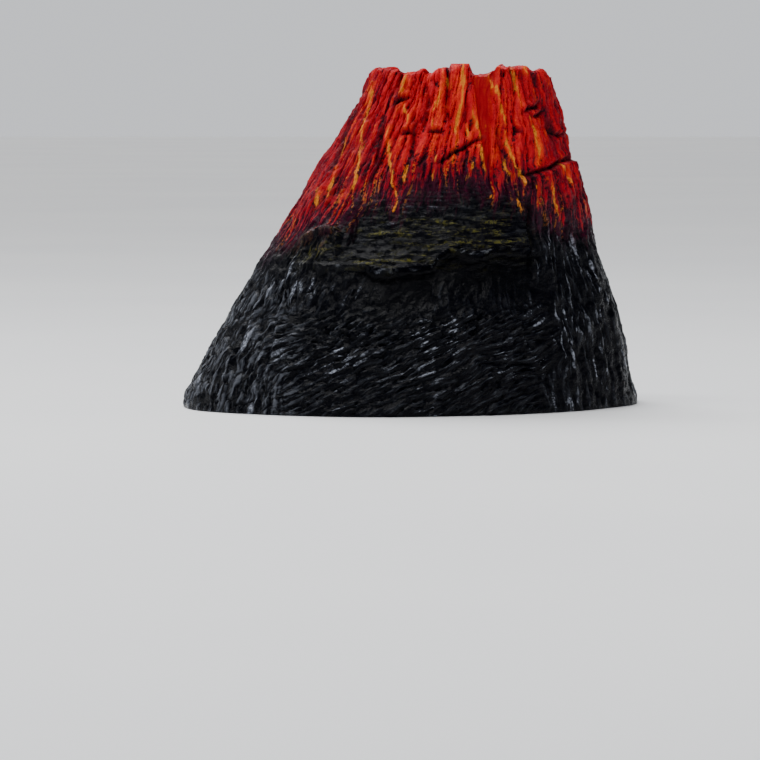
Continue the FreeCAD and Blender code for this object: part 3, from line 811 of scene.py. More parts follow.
def from_line(x, z, line):
    """Distance to a line of (x, z) points, and the share of its length at the nearest point."""
    line = np.array(line, float)
    steps = np.hypot(*np.diff(line, axis=0).T)
    done = np.concatenate([[0], np.cumsum(steps)])
    best = np.full(x.shape, 1e9)
    share = np.zeros(x.shape)
    for k in range(len(line) - 1):
        (ax, az), (bx, bz) = line[k], line[k + 1]
        t = ((x - ax) * (bx - ax) + (z - az) * (bz - az)) / max(steps[k] ** 2, 1e-9)
        t = np.clip(t, 0, 1)
        d = np.hypot(x - ax - t * (bx - ax), z - az - t * (bz - az))
        closer = d < best
        best = np.where(closer, d, best)
        share = np.where(closer, (done[k] + t * steps[k]) / done[-1], share)
    return best, share


def hump(distance, width):
    return np.exp(-(distance / width) ** 2)


def height_of(line, x):
    """Height at x of a line that runs across the front."""
    return np.interp(x, *zip(*line))


def rise_and_fall(share, power):
    """Bulge from one end of a line to the other, 0 to 1."""
    return np.sin(share * math.pi) ** power


def on_drum(angle, climb):
    """Points on a drum round which the grain is unrolled, so noise has no seam, in mm."""
    return np.column_stack([GRAIN_RADIUS * np.cos(angle), GRAIN_RADIUS * np.sin(angle), climb])


class RockRelief:
    """Displacement and paint masks of the rock, worked out at every point of its surface."""

    def __init__(self, points, alpha, climb, sizes):
        eye = LAYOUT_EYE
        nearness = eye[1] / (eye[1] - points[:, 1])
        self.x = eye[0] + (points[:, 0] - eye[0]) * nearness
        self.z = eye[2] + (points[:, 2] - eye[2]) * nearness
        self.sizes = sizes
        even = on_drum(alpha, climb)
        wander = alpha + (1.6 * sample(even, (13, 13, 16), 1, 2)
                          + 0.45 * sample(even, (4, 4, 5), 22, 2)) / GRAIN_RADIUS
        self.grain = on_drum(wander, climb + 0.9 * sample(even, (6, 6, 6), 23, 2))
        self.shake = 0.55 * sample(even, (4.0, 4.0, 5.0), 2, 2)
        self.sway = 3.0 * sample(even, (11, 11, 11), 35, 3) * smooth_step(1.1, 1.5, np.abs(alpha))
        self.front = smooth_step(1.95, 1.5, np.abs(alpha))
        self.right = 0.5 + 0.5 * np.sin(alpha)
        # painted sheen on the rock's ridges: a little everywhere, more at the sides and back
        self.sheen = 0.15 + 0.25 * (1 - self.front)
        self.find_lava_edge()
        self.find_regions()
        self.find_features()
        self.find_bulges()
        self.find_depth()

    def find_lava_edge(self):
        """How far a point is above the edge of the lava, in mm."""
        edge_front = height_of(LAVA_EDGE, self.x)
        spikes = sample(self.grain, (3.0, 3.0, 60), 3, 3)
        edge_back = 63.0 + 7.0 * sample(self.grain, (22, 22, 200), 4, 2)
        edge = edge_back + (edge_front - edge_back) * self.front
        self.above = self.z - edge + spikes * (2.6 + 3.0 * (1 - self.front))

    def find_regions(self):
        """Where the crown, the level beds, the slanting beds, the ledge and the hollow are."""
        front = self.front
        x = self.x + 4.0 * sample(self.grain, (10, 10, 12), 33, 3)
        z = self.z + 2.2 * sample(self.grain, (10, 10, 12), 34, 3)
        self.crown = smooth_step(-7.0, 6.0, self.above)
        panel = front * smooth_step(-33, -20, x) * smooth_step(46, 33, x)
        self.panel = panel * smooth_step(41, 47, z) * (1 - self.crown)
        lower = front * smooth_step(-54, -38, x + z * 0.3) * smooth_step(50, 38, x - z * 0.1)
        self.lower = lower * smooth_step(36, 27, z)
        edge = height_of(LEDGE, self.x + self.shake * 1.5) + self.shake * 0.8
        self.under = edge - self.z
        recess = front * smooth_step(-28, -12, x) * smooth_step(49, 34, x)
        self.hollow = recess * smooth_step(-0.3, 1.0, self.under) * smooth_step(21, 9, self.under)
        lip = smooth_step(9.0, 0.0, -self.under) * smooth_step(0.5, -0.1, self.under)
        self.lip = recess * lip
        rubble = front * hump(z - 25.0 - 0.08 * x, 4.5) * smooth_step(-42, -26, x)
        self.rubble = rubble * smooth_step(40, 30, x)

    def along(self, line, shake_x, shake_z=0.0):
        """Distance to a line that the grain shakes, and the share of its length."""
        return from_line(self.x + self.shake * shake_x, self.z + self.shake * shake_z, line)

    def nearest(self, lines, shake_x, shake_z, ends):
        """Distance to the nearest of some lines, which thin out towards their ends."""
        nearest = np.full(len(self.z), FAR_AWAY)
        for line in lines:
            away, share = self.along(line, shake_x, shake_z)
            nearest = np.minimum(nearest, away + ends * (1 - rise_and_fall(
                np.clip(share, 0.02, 0.98), 0.4)))
        return nearest * self.front + FAR_AWAY * (1 - self.front)

    def find_features(self):
        """The channel, grooves, cracks, arch, runs of paint and ridges."""
        away, share = self.along(CHANNEL, 0.4)
        width = height_of(CHANNEL_WIDTHS, share)
        self.channel = self.front * smooth_step(1.15, 0.6, away / width)
        self.groove, self.crack, self.brow = np.zeros((3, len(self.z)))
        for line in GROOVES:
            away, share = self.along(line, 1.2)
            taper = rise_and_fall(np.clip(share * 1.1 + 0.15, 0, 1), 0.5)
            self.groove = np.maximum(self.groove, hump(away, 0.85) * taper)
        for line in CRACKS:
            away, share = from_line(self.x + self.shake, self.z + self.shake * 0.7 + self.sway, line)
            taper = 0.35 + 0.65 * rise_and_fall(share, 1.0)
            self.crack = np.maximum(self.crack, hump(away, 0.42 + 0.3 * taper) * taper)
            above = self.z + self.shake * 0.7 > height_of(sorted(line), self.x)
            self.brow = np.maximum(self.brow, hump(away - 1.3, 0.9) * above * taper)
        self.groove *= self.front
        self.crack *= self.front
        self.brow *= self.front
        self.arch = self.front * hump(self.along(ARCH, 1.0)[0], 1.0)
        self.run_way = self.nearest(RUNS, 1.1, 0.0, 0.55)
        self.strand_way = self.nearest(STRANDS + [LEDGE, ARCH], 1.5, 1.1, 0.6)

    def find_bulges(self):
        """The two swellings beside the channel, and how bright the lava is: painted light, brighter in the
        middle of the front and darker at the sides, and darker near the lava's edge.
        """
        x, z, front = self.x, self.z, self.front
        # painted light and shade on the lava, and its darker paint near the edge
        tone_and_painted_light = 0.25 + 0.75 * hump(x - 17.0, 30.0) * smooth_step(2.0, 15.0, self.above)
        self.tone_and_painted_light = tone_and_painted_light * front + 0.5 * (1 - front)
        lobe = front * smooth_step(33, 39, x) * smooth_step(0.4, -1.6, z - height_of(LOBE_EDGE, x))
        self.lobe = lobe * smooth_step(54, 73, z)
        swell = front * smooth_step(6, 10, x) * smooth_step(26.5, 23, x)
        self.swell = swell * smooth_step(0.3, -1.5, z - height_of(SWELL_EDGE, x)) * smooth_step(72, 79, z)

    def find_depth(self):
        """Displacement in mm, and how much each point stands up out of its own grain, 0 to 1."""
        sizes, grain = self.sizes, self.grain
        flutes = layered(grain, FLUTES)
        short = layered(grain, SHORT_BARK)
        bark = short + (layered(grain, LONG_BARK) - short) * smooth_step(0.35, 0.75, self.right)
        west = self.front * smooth_step(-34, -44, self.x) * smooth_step(50, 38, self.z)
        bark += (layered(grain, UPRIGHT_BARK) - bark) * west
        # painted sheen: strongest on the left flank, none in the hollow
        self.sheen = np.maximum(self.sheen, west) * (1 - self.hollow)
        flat = np.zeros(len(grain))
        flow = np.column_stack([self.x, flat, self.z])
        level = self.z / BED_HEIGHT + 0.9 * sample(flow, (13, 1, 9), 9, 2)
        level += 0.22 * sample(flow, (3.5, 1, 2.5), 19, 2)
        strata = 0.4 * beds(level) + layered(flow, LEVEL_BEDS)
        self.across = self.z - BED_SLANT * self.x + 2.0 * sample(flow, (17, 1, 11), 10, 2)
        slants = layered(np.column_stack([self.x, flat, self.across]), SLANTING_BEDS)
        rough = ridges(grain, (2.2, 2.2, 2.2), 26, 3)
        coarse = sample(grain, (17, 17, 24), 13, 3)

        crown, panel, lower = self.crown, self.panel, self.lower
        plain = (1 - crown) * (1 - 0.85 * panel) * (1 - 0.85 * lower)
        calm = (1 - 0.92 * self.channel) * (1 - 0.4 * self.hollow)
        relief = (flutes - 0.55) * crown * sizes.flute_depth
        relief += (bark - 0.5) * plain * sizes.bark_depth
        relief += (strata - 0.5) * panel * sizes.strata_depth
        relief += (slants - 0.5) * lower * sizes.slant_depth
        depth = relief / MM * calm
        coarseness = 0.5 + 1.6 * self.rubble - 0.3 * self.hollow
        depth += (rough - 0.5) * coarseness * (1 - self.channel) * 0.8
        depth += coarse * 1.2 * (1 - 0.6 * self.channel)
        depth += self.lip * 0.55 * sizes.ledge_depth / MM
        depth -= self.hollow * 0.6 * sizes.ledge_depth / MM
        depth -= self.channel * sizes.channel_depth / MM * smooth_step(70, 88, self.z)
        depth -= self.groove * sizes.groove_depth / MM * (1 - self.channel)
        depth -= self.crack * sizes.crack_depth / MM
        depth += self.brow * 0.75 + self.arch * 1.1
        depth += hump(self.run_way, 1.1) * 0.45
        depth += hump(self.strand_way, 0.95) * 0.95 * (1 - crown)
        depth += self.lobe * 1.7 + self.swell * 0.6
        self.depth = depth
        up = (flutes - 0.1) * crown + bark * plain + strata * panel + slants * lower
        up = up * 0.8 + 0.2 * rough
        self.ridge = np.clip(up * (1 - 0.9 * self.crack) * (1 - 0.6 * self.groove), 0, 1)

    def ochre(self):
        """Olive brushed on the beds, the arch and the ledge's edge."""
        patch = smooth_step(-0.25, 0.45, sample(self.grain, (8, 8, 4), 15, 3))
        strokes = np.zeros(len(self.z))
        for height, low, high in OLIVE_STROKES:
            span = smooth_step(low - 2, low + 2, self.x) * smooth_step(high + 2, high - 2, self.x)
            strokes = np.maximum(strokes, span * hump(self.z - height - self.shake * 1.5, 1.1))
        on_beds = self.panel * np.maximum(0.22 * patch, strokes)
        corner = self.front * hump(self.x + 33, 7) * hump(self.z - 52, 5) * 0.8
        edge = self.lip * smooth_step(0.6, 1.0, self.lip) * 0.7 * patch
        return np.maximum.reduce([on_beds, corner, edge, self.arch])

    def masks(self, outside):
        """What the paint reads at each vertex: places in m, distances in cm, the rest 0 to 1."""
        return {
            "grain": self.grain * MM,
            "flow": np.column_stack([self.x, self.across, self.z]) * MM,
            "above": self.above * 0.1,
            "run_way": np.minimum(self.run_way * 0.1, 0.9),
            "strand_way": np.minimum(self.strand_way * 0.1, 0.9),
            "shade": np.maximum.reduce([self.crack, self.groove * 0.55, self.hollow * 0.7]),
            "lower": np.maximum(self.lower, self.rubble * 0.8),
            "ochre": self.ochre() * outside,
            "outside": outside,
            "ridge": self.ridge,
            "sheen": self.sheen,
            "tone_and_painted_light": self.tone_and_painted_light,
            "channel": self.channel,
            "panel": self.panel,
            "hollow": self.hollow,
        }


# ---- Rock: mesh ------------------------------------------------------------------------------------

RELIEF_SHARE = {"flank": 1.0, "crest": 0.6, "inside": 0.0, "underside": 0.0}
CHIP_DEPTH, LUMP_DEPTH = 0.8, 1.2    # broken crest, and the rough inside, mm
TOP_SPARE = 0.4                      # how far the relief may rise above the casting's top, mm
ARCH_HALF, ARCH_HEIGHT = 15.0, 20.0  # half width and height of the arch at the back, mm
ARCH_REACH = 60.0                    # length of its cutter, mm


def wrapped(net):
    """A net of values with its first ring and first column repeated at its far edges."""
    net = np.concatenate([net, net[:1]], axis=0)
    return np.concatenate([net, net[:, :1]], axis=1)


def shape_rock(sizes):
    """The rock with its relief, and its paint masks stored on its vertices."""
    points, alpha, parts = rock_rings(sizes)
    rings, count = points.shape[:2]
    normals = ring_normals(points)
    flat = points.reshape(-1, 3)
    relief = RockRelief(flat, np.tile(alpha, rings), profile_climb(points, parts).ravel(), sizes)
    depth = relief.depth.reshape(rings, count)
    share = np.array([RELIEF_SHARE[p] for p in parts])[:, None]
    foot = np.where((parts == "flank")[:, None], smooth_step(-3.0, 2.5, points[:, :, 2]), 1.0)
    chips = sample(flat, (3.2, 3.2, 3.2), 21, 3).reshape(rings, count)
    lumps = sample(flat, (15, 15, 20), 31, 2).reshape(rings, count)
    depth = depth * share * foot + chips * (parts == "crest")[:, None] * CHIP_DEPTH
    depth += lumps * (parts == "inside")[:, None] * LUMP_DEPTH
    moved = points + normals * depth[:, :, None]
    moved[:, :, 2] = np.clip(moved[:, :, 2], 0.0, CASTING_TOP + TOP_SPARE)
    moved[:, :, 2] = np.where(points[:, :, 2] <= 1e-6, 0.0, moved[:, :, 2])

    deselect()
    bpy.ops.mesh.primitive_grid_add(x_subdivisions=count, y_subdivisions=rings, size=1.0)
    piece = take_active("volcano_rock")
    piece.data.vertices.foreach_set("co", (wrapped(moved) * MM).astype(np.float32).ravel())
    piece.data.update()
    outside = np.repeat(np.isin(parts, ("flank", "crest")), count).astype(float)
    for name, values in relief.masks(outside).items():
        net = wrapped(values.reshape(rings, count, *values.shape[1:]))
        put_attribute(piece, name, net.reshape(-1, *values.shape[1:]))
    close_skin(piece)
    return piece


def cut_arch(piece):
    """Cuts the arch at the back for the air line and the cable."""
    middle = (middle_of("air_inlet").x + middle_of("cable_gland").x) / 2
    half, height, reach = ARCH_HALF * MM, ARCH_HEIGHT * MM, ARCH_REACH * MM
    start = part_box("cover_ring")[1].y
    deselect()
    bpy.ops.mesh.primitive_cylinder_add(
        vertices=72, radius=half, depth=reach, location=(middle, start + reach / 2, height - half),
        rotation=(math.pi / 2, 0, 0))
    cutter = take_active("arch_cutter")
    place(cutter)
    for vertex in cutter.data.vertices:
        if vertex.co.z < height - half - 1e-6:
            if abs(vertex.co.x - middle) > 1e-6:
                vertex.co.x = middle + math.copysign(half, vertex.co.x - middle)
            vertex.co.z = -5 * MM
    cutter.data.update()
    apply_modifier(piece, "BOOLEAN", object=cutter, operation="DIFFERENCE", solver="EXACT")
    bpy.data.objects.remove(cutter)


# ---- Rock: paint -------------------------------------------------------------------------------------

class RockPaint:
    """Black rock under red lava paint, with orange and gold runs and an olive dry brush."""

    def __init__(self, colours):
        self.colours = colours
        self.material, self.tree, self.shader = new_material("painted_rock",
                                                             Specular_IOR_Level=0.055)
        tree = self.tree
        self.above = tree.attribute("above")
        self.ridge = tree.attribute("ridge")
        self.outside = tree.attribute("outside")
        self.panel = tree.attribute("panel")
        self.channel = tree.attribute("channel")
        self.tone_and_painted_light = tree.attribute("tone_and_painted_light")
        self.find_grain()
        self.find_edges()

    def find_grain(self):
        """Fine grain, which runs down the slope, along the beds, or across them at the foot."""
        tree = self.tree
        grain = tree.attribute("grain", "Vector")
        flow = tree.attribute("flow", "Vector")
        self.threads = tree.noise(tree.stretch(grain, (1, 1, 0.15)), 820, 3, 0.6)
        level = tree.noise(tree.stretch(flow, (0.2, 0, 1)), 760, 3, 0.6)
        slant = tree.noise(tree.stretch(flow, (0.22, 1, 0)), 760, 3, 0.6)
        self.speck = tree.noise(grain, 1050, 3, 0.65)
        self.grit = tree.noise(grain, 2300, 2, 0.6)
        self.patches = tree.noise(tree.stretch(grain, (1, 1, 0.45)), 110, 3, 0.55)
        self.runs = tree.noise(tree.stretch(grain, (1, 1, 0.10), (0.7, 0.2, 0.1)), 480, 3, 0.6)
        fine = tree.blend(self.panel, self.threads, level)
        self.fine = tree.blend(tree.attribute("lower"), fine, slant)

    def find_edges(self):
        """The lava's torn edge, the ragged sides of the runs, and how calm the channel is."""
        tree = self.tree
        self.torn = tree.swing(self.threads, 2.6, self.above)
        self.cover = tree.times(tree.steps(self.torn, -0.05, 0.40), self.outside)
        self.ragged = tree.swing(self.threads, 0.30, tree.attribute("run_way"))
        self.calm = tree.add(self.channel, -0.85, 1.0)

    def rock(self):
        """Rock brushed with grey on its ridges, with painted sheen and painted glints in clusters on its
        edges.
        """
        tree, colours = self.tree, self.colours
        ridge, fine, speck, patches = self.ridge, self.fine, self.speck, self.patches
        dust = tree.times(tree.steps(ridge, 0.45, 0.95), tree.steps(fine, 0.50, 0.64),
                          tree.steps(speck, 0.46, 0.60, 0.2, 1.0),
                          tree.steps(patches, 0.42, 0.66, 0.15, 1.0))
        rock = tree.mix(dust, colours.rock, colours.rock_dust)
        # painted sheen: pale grey on the ridges, where the sheen mask is high
        painted_sheen = tree.times(tree.steps(ridge, 0.40, 0.85), tree.steps(fine, 0.46, 0.60),
                            tree.attribute("sheen"), 0.24)
        rock = tree.mix(painted_sheen, rock, colours.rock_highlight)
        # painted glints: pale grey specks on the ridges, in clusters, none in the hollow and fewer on the
        # beds
        glint_allowed = tree.math("SUBTRACT", 1.0, tree.most(tree.attribute("hollow"),
                                                    tree.times(self.panel, 0.7)))
        glint = tree.times(tree.steps(fine, 0.56, 0.63), tree.steps(ridge, 0.48, 0.80),
                           tree.steps(speck, 0.47, 0.57),
                           tree.steps(patches, 0.47, 0.62, 0.06, 1.0), glint_allowed)
        rock = tree.mix(glint, rock, colours.rock_highlight)
        # painted glints along the slanting and long ridges, the ledge and the arch
        strand_glint = tree.swing(fine, -0.40, tree.attribute("strand_way"))
        strand_glint = tree.times(tree.steps(strand_glint, 0.045, -0.02), tree.steps(fine, 0.44, 0.56),
                            tree.steps(patches, 0.42, 0.60, 0.25, 1.0),
                            tree.steps(speck, 0.42, 0.58, 0.15, 1.0), 0.9)
        rock = tree.mix(strand_glint, rock, colours.rock_highlight)
        brush = tree.times(tree.attribute("ochre"), tree.steps(fine, 0.47, 0.60),
                           tree.steps(speck, 0.42, 0.58, 0.1, 1.0))
        return tree.mix(brush, rock, colours.ochre)

    def lava(self):
        """Deep red in the hollows and orange on the ridges, partly paint and partly painted shade and
        highlight; darker at the sides as painted shade.
        """
        tree, colours = self.tree, self.colours
        speck, patches, runs, ridge = self.speck, self.patches, self.runs, self.ridge
        warm = tree.add(ridge, 0.50, tree.times(self.threads, 0.65))
        warm = tree.swing(runs, 0.6, tree.swing(patches, 0.8, warm))
        # painted light: warmer in the middle of the front
        warm = tree.add(self.tone_and_painted_light, 0.22, tree.math("SUBTRACT", warm, 0.16))
        # partly painted shade and highlight: deep red low between the ridges, redder on them
        lava = tree.mix(tree.steps(warm, 0.30, 0.68), colours.lava_deep, colours.lava)
        # partly painted highlight: orange specks on the highest ridges
        orange_highlight = tree.times(tree.steps(warm, 0.64, 0.98), tree.steps(speck, 0.42, 0.60, 0.2, 1.0))
        halo = tree.times(tree.steps(self.ragged, 0.16, 0.02), tree.steps(runs, 0.38, 0.60))
        lava = tree.mix(tree.most(orange_highlight, halo), lava, colours.lava_orange)
        # painted shade at the sides, and the paint's darker red low down, broken by patches
        dull_and_shade = tree.swing(runs, -1.6, tree.swing(patches, 1.6, tree.add(self.tone_and_painted_light, -1.45, 1.3)))
        dull_and_shade = tree.times(tree.steps(dull_and_shade, 0.15, 0.95), tree.steps(self.fine, 0.62, 0.42, 0.5, 1.0),
                          0.92)
        lava = tree.mix(dull_and_shade, lava, colours.lava_dull_and_shaded)
        lava = tree.mix(tree.times(self.channel, 0.55), lava, colours.lava_deep)
        return self.speckled(lava)

    def speckled(self, lava):
        """Dark specks in the lava's hollows, more of them lower down."""
        tree = self.tree
        depth = tree.add(self.ridge, 0.16, tree.add(self.speck, 0.55, tree.times(self.threads, 0.45)))
        depth = tree.add(tree.steps(self.above, 2.2, 0.1), -0.075, depth)
        dark = tree.times(tree.steps(depth, 0.53, 0.46), self.calm, 0.92)
        return tree.mix(dark, lava, self.colours.crevice)

    def gold(self):
        """Where gold lies: broken threads along the runs, loose ones, and some at the edge."""
        tree = self.tree
        speck, runs = self.speck, self.runs
        threads = tree.times(tree.steps(self.ragged, 0.048, 0.010),
                             tree.steps(speck, 0.40, 0.54, 0.35, 1.0), self.outside)
        loose = tree.times(tree.steps(runs, 0.62, 0.68), tree.steps(speck, 0.46, 0.58),
                           tree.steps(self.ridge, 0.3, 0.7))
        at_edge = tree.times(tree.steps(runs, 0.57, 0.63), tree.steps(speck, 0.48, 0.56),
                             tree.steps(tree.size(self.above), 0.8, 0.3), self.outside)
        return threads, loose, at_edge

    def body(self):
        """Rock and lava joined at the torn edge, with a maroon wash under it, and painted shade in the
        cracks, grooves, hollow and between the ridges.
        """
        tree, colours = self.tree, self.colours
        threads, loose, at_edge = self.gold()
        on_lava = tree.most(tree.most(threads, tree.times(loose, 0.45)), tree.times(at_edge, 0.35))
        lava = tree.mix(tree.times(on_lava, 0.92), self.lava(), colours.lava_gold)
        wash = tree.times(tree.steps(self.torn, -0.95, 0.0),
                          tree.steps(self.patches, 0.3, 0.5, 0.35, 1.0),
                          tree.steps(self.speck, 0.38, 0.56, 0.3, 1.0), self.outside, 0.9)
        body = tree.mix(wash, self.rock(), colours.maroon)
        body = tree.mix(self.cover, body, lava)
        below = tree.times(tree.most(threads, tree.times(at_edge, 0.25)),
                           tree.steps(self.above, -1.2, -0.5))
        body = tree.mix(below, body, colours.lava_gold)
        # painted shade: darker in the cracks, grooves, the hollow under the ledge and between the ridges
        shade = tree.most(tree.attribute("shade"), tree.steps(self.ridge, 0.30, 0.04))
        shadow = tree.mix(self.cover, colours.rock_shadow, colours.crevice)
        return tree.mix(tree.times(shade, 0.85), body, shadow)

    def close(self):
        """Joins colour, gloss and fine relief to the shader."""
        tree = self.tree
        tree.feed(self.shader, "Base Color", self.body())
        gloss = tree.add(self.speck, 0.24, tree.add(self.cover, 0.22, 0.08))
        tree.feed(self.shader, "Roughness", gloss)
        height = tree.add(self.fine, 0.8, tree.add(self.grit, 0.22, tree.times(self.speck, 0.5)))
        bump = tree.node("ShaderNodeBump", {"Strength": 0.6, "Distance": 0.0011,
                                            "Height": tree.times(height, self.calm)})
        tree.feed(self.shader, "Normal", bump.outputs["Normal"])
        return self.material


class VOLCANO_OT_rock(Operator):
    """Model the hollow rock with its relief, and paint it"""

    bl_idname = "volcano.rock"
    bl_label = "Rock"

    def execute(self, context):
        scene = context.scene
        piece = shape_rock(scene.volcano_sizes)
        cut_arch(piece)
        smooth(piece, 60)
        finish(piece, "shell", ("volcano_casting",),
               RockPaint(scene.volcano_colours).close())
        return {"FINISHED"}


# ---- Bubbler: shared effects -------------------------------------------------------------------------

def once(name, build):
    """A node group that is built the first time that it is asked for."""
    return bpy.data.node_groups.get(name) or build(name)


def skin_group(name):
    """Mottled colour, uneven gloss and fine grain of a moulded or cast surface."""
    number, tint = "NodeSocketFloat", "NodeSocketColor"
    group, tree, given, sink = new_group(name, [
        ("Vector", "NodeSocketVector", None), ("Colour", tint, (0.5, 0.5, 0.5, 1.0)),
        ("Mottle", tint, (0.6, 0.6, 0.6, 1.0)), ("Grain", number, 1500.0), ("Gloss", number, 0.4),
        ("Unevenness", number, 0.15)],
        [("Colour", tint), ("Roughness", number), ("Height", number)])
    spot = given["Vector"]
    cloud = tree.noise(spot, 130.0, 4, 0.6)
    smudge = tree.noise(spot, 460.0, 5, 0.65, 0.5)
    fine = tree.noise(spot, given["Grain"], 2, 0.6)
    tone = tree.mix(tree.steps(cloud, 0.35, 0.68), given["Colour"], given["Mottle"])
    tree.feed(sink, "Colour", tree.mix(tree.steps(fine, 0.56, 0.72, 0.0, 0.5), tone, given["Mottle"]))
    uneven = tree.times(tree.math("SUBTRACT", smudge, 0.5), given["Unevenness"])
    tree.feed(sink, "Roughness", tree.add(uneven, 2.0, given["Gloss"]))
    tree.feed(sink, "Height", tree.add(cloud, 0.6, fine))
    return group


def split(tree, vector):
    """Parts of a vector, and its distance from the Z axis."""
    parts = tree.node("ShaderNodeSeparateXYZ", {"Vector": vector}).outputs
    flat = tree.node("ShaderNodeCombineXYZ", {"X": parts["X"], "Y": parts["Y"]}).outputs[0]
    return parts, tree.node("ShaderNodeVectorMath", {0: flat}, operation="LENGTH").outputs["Value"]


def edge_group(name):
    """Wear along a round edge: strongest at the given radius and height, and patchy along it."""
    number = "NodeSocketFloat"
    group, tree, given, sink = new_group(name, [
        ("Vector", "NodeSocketVector", None), ("Radius", number, 0.03), ("Height", number, 0.02),
        ("Width", number, 0.0005)], [("Mask", number)])
    parts, radius = split(tree, given["Vector"])
    out = tree.math("SUBTRACT", radius, given["Radius"])
    up = tree.math("SUBTRACT", parts["Z"], given["Height"])
    away = tree.math("SQRT", tree.add(out, out, tree.times(up, up)))
    rub = tree.noise(given["Vector"], 700.0, 4, 0.7)
    reach = tree.math("DIVIDE", away, given["Width"])
    tree.feed(sink, "Mask", tree.steps(tree.add(rub, -1.6, reach), 0.1, -0.7))
    return group


def circle_group(name):
    """Place within one of a number of equal sectors, measured from the middle of a round pattern."""
    number = "NodeSocketFloat"
    group, tree, given, sink = new_group(name, [
        ("Vector", "NodeSocketVector", None), ("Circle", number, 0.018), ("Count", number, 6.0),
        ("Start", number, 0.0)],
        [("Outward", number), ("Sideways", number), ("Away", number), ("Radius", number)])
    parts, radius = split(tree, given["Vector"])
    angle = tree.math("SUBTRACT", tree.math("ARCTAN2", parts["Y"], parts["X"]), given["Start"])
    sector = tree.math("DIVIDE", 2 * math.pi, given["Count"])
    half = tree.times(sector, 0.5)
    wrapped_angle = tree.math("FLOORED_MODULO", tree.math("ADD", angle, half), sector)
    turn = tree.math("SUBTRACT", wrapped_angle, half)
    outward = tree.math("SUBTRACT", tree.times(radius, tree.math("COSINE", turn)), given["Circle"])
    sideways = tree.times(radius, tree.math("SINE", turn))
    away = tree.math("SQRT", tree.add(outward, outward, tree.times(sideways, sideways)))
    results = {"Outward": outward, "Sideways": sideways, "Away": away, "Radius": radius}
    for key, value in results.items():
        tree.feed(sink, key, value)
    return group


class Skin:
    """A material built on the shared skin, with its colour, roughness and height still open."""

    def __init__(self, name, colour, mottle, grain, gloss, uneven, **sockets):
        self.material, self.tree, self.shader = new_material(name, **sockets)
        spot = self.tree.node("ShaderNodeTexCoord").outputs["Object"]
        self.spot = self.tree.stretch(spot, (1, 1, 1), (-AXIS_X, -AXIS_Y, 0.0))
        skin = self.tree.group(once("moulded_skin", skin_group), Vector=self.spot,
                               Colour=(*colour, 1.0), Mottle=(*mottle, 1.0), Grain=grain,
                               Gloss=gloss, Unevenness=uneven)
        self.colour = skin.outputs["Colour"]
        self.roughness = skin.outputs["Roughness"]
        self.height = skin.outputs["Height"]

    def wear(self, edges, tone, width=0.45):
        """Rubs the round edges, each (radius, height) in mm from the bubbler's axis."""
        for radius, height in edges:
            edge = self.tree.group(once("worn_edge", edge_group), Vector=self.spot,
                                   Radius=radius * MM, Height=height * MM, Width=width * MM)
            self.colour = self.tree.mix(self.tree.times(edge.outputs["Mask"], 0.8), self.colour, tone)

    def circle(self, radius, count, start):
        """Places round the bubbler's axis; radius in mm, start in degrees."""
        return self.tree.group(once("round_places", circle_group), Vector=self.spot,
                               Circle=radius * MM, Count=float(count),
                               Start=math.radians(start)).outputs

    def over(self, mask, tone, rough=None):
        """Lays another finish over a mask."""
        self.colour = self.tree.mix(mask, self.colour, tone)
        if rough is not None:
            self.roughness = self.tree.blend(mask, self.roughness, rough)

    def close(self, bump, strength=0.5):
        """Joins everything to the shader; bump is the grain's height in mm."""
        relief = self.tree.node("ShaderNodeBump", {"Strength": strength, "Distance": bump * MM,
                                                   "Height": self.height})
        self.tree.feed(self.shader, "Base Color", self.colour)
        self.tree.feed(self.shader, "Roughness", self.roughness)
        self.tree.feed(self.shader, "Normal", relief.outputs["Normal"])
        return self.material


def paint(material, *nodes):
    """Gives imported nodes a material; their meshes stay as they are."""
    for name in nodes:
        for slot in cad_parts[name].material_slots:
            slot.material = material


# ---- Bubbler: housing, lens and seals ----------------------------------------------------------------

LENS_LAP, COVER_BEVEL = 2.8, 0.6     # the cover ring over the lens, and its bevelled edge, mm
CUP_WALL = 1.5                       # wall and floor of the stone cup, mm
SCREWS, SCREW_START = 4, 45.0        # set evenly round the cover, the first at this angle
SCREW_HEAD = 1.7                     # radius of a screw's head, mm
TURNING_MARKS = 32000.0              # rings on a screw's head, radians per metre


class VOLCANO_OT_housing(Operator):
    """Finish the moulded housing, cover ring and stone cup, and the screws"""

    bl_idname = "volcano.housing"
    bl_label = "Housing and cover"

    def execute(self, context):
        colours = context.scene.volcano_finishes
        radius, top = from_axis("cover_ring")
        lip = from_axis("clear_lens")[0] - LENS_LAP
        cup_radius, cup_top = from_axis("stone_cup")
        edges = {
            "base_housing": [(radius, underside_of("base_housing")),
                             (radius, underside_of("cover_ring"))],
            "cover_ring": [(radius, top - COVER_BEVEL), (radius - COVER_BEVEL, top), (lip, top)],
            "stone_cup": [(cup_radius, cup_top), (cup_radius - CUP_WALL, cup_top),
                          (cup_radius, underside_of("stone_cup") + CUP_WALL)],
        }
        for node, lines in edges.items():
            skin = Skin(node + "_plastic", colours.plastic, colours.plastic_bloom, 2100.0, 0.40, 0.16,
                        Specular_IOR_Level=0.3)
            skin.wear(lines, colours.plastic_worn)
            paint(skin.close(0.10), node)
        steel = Skin("screw_metal", colours.steel, colours.steel_dull, 2600.0, 0.26, 0.12, Metallic=1.0)
        screw_circle = (from_axis("cover_screws")[0] - SCREW_HEAD) * math.sqrt(2)
        heads = steel.circle(screw_circle, SCREWS, SCREW_START)
        rings = steel.tree.math("SINE", steel.tree.times(heads["Away"], TURNING_MARKS))
        steel.height = steel.tree.add(rings, 0.4, steel.height)
        paint(steel.close(0.03), "cover_screws")
        return {"FINISHED"}


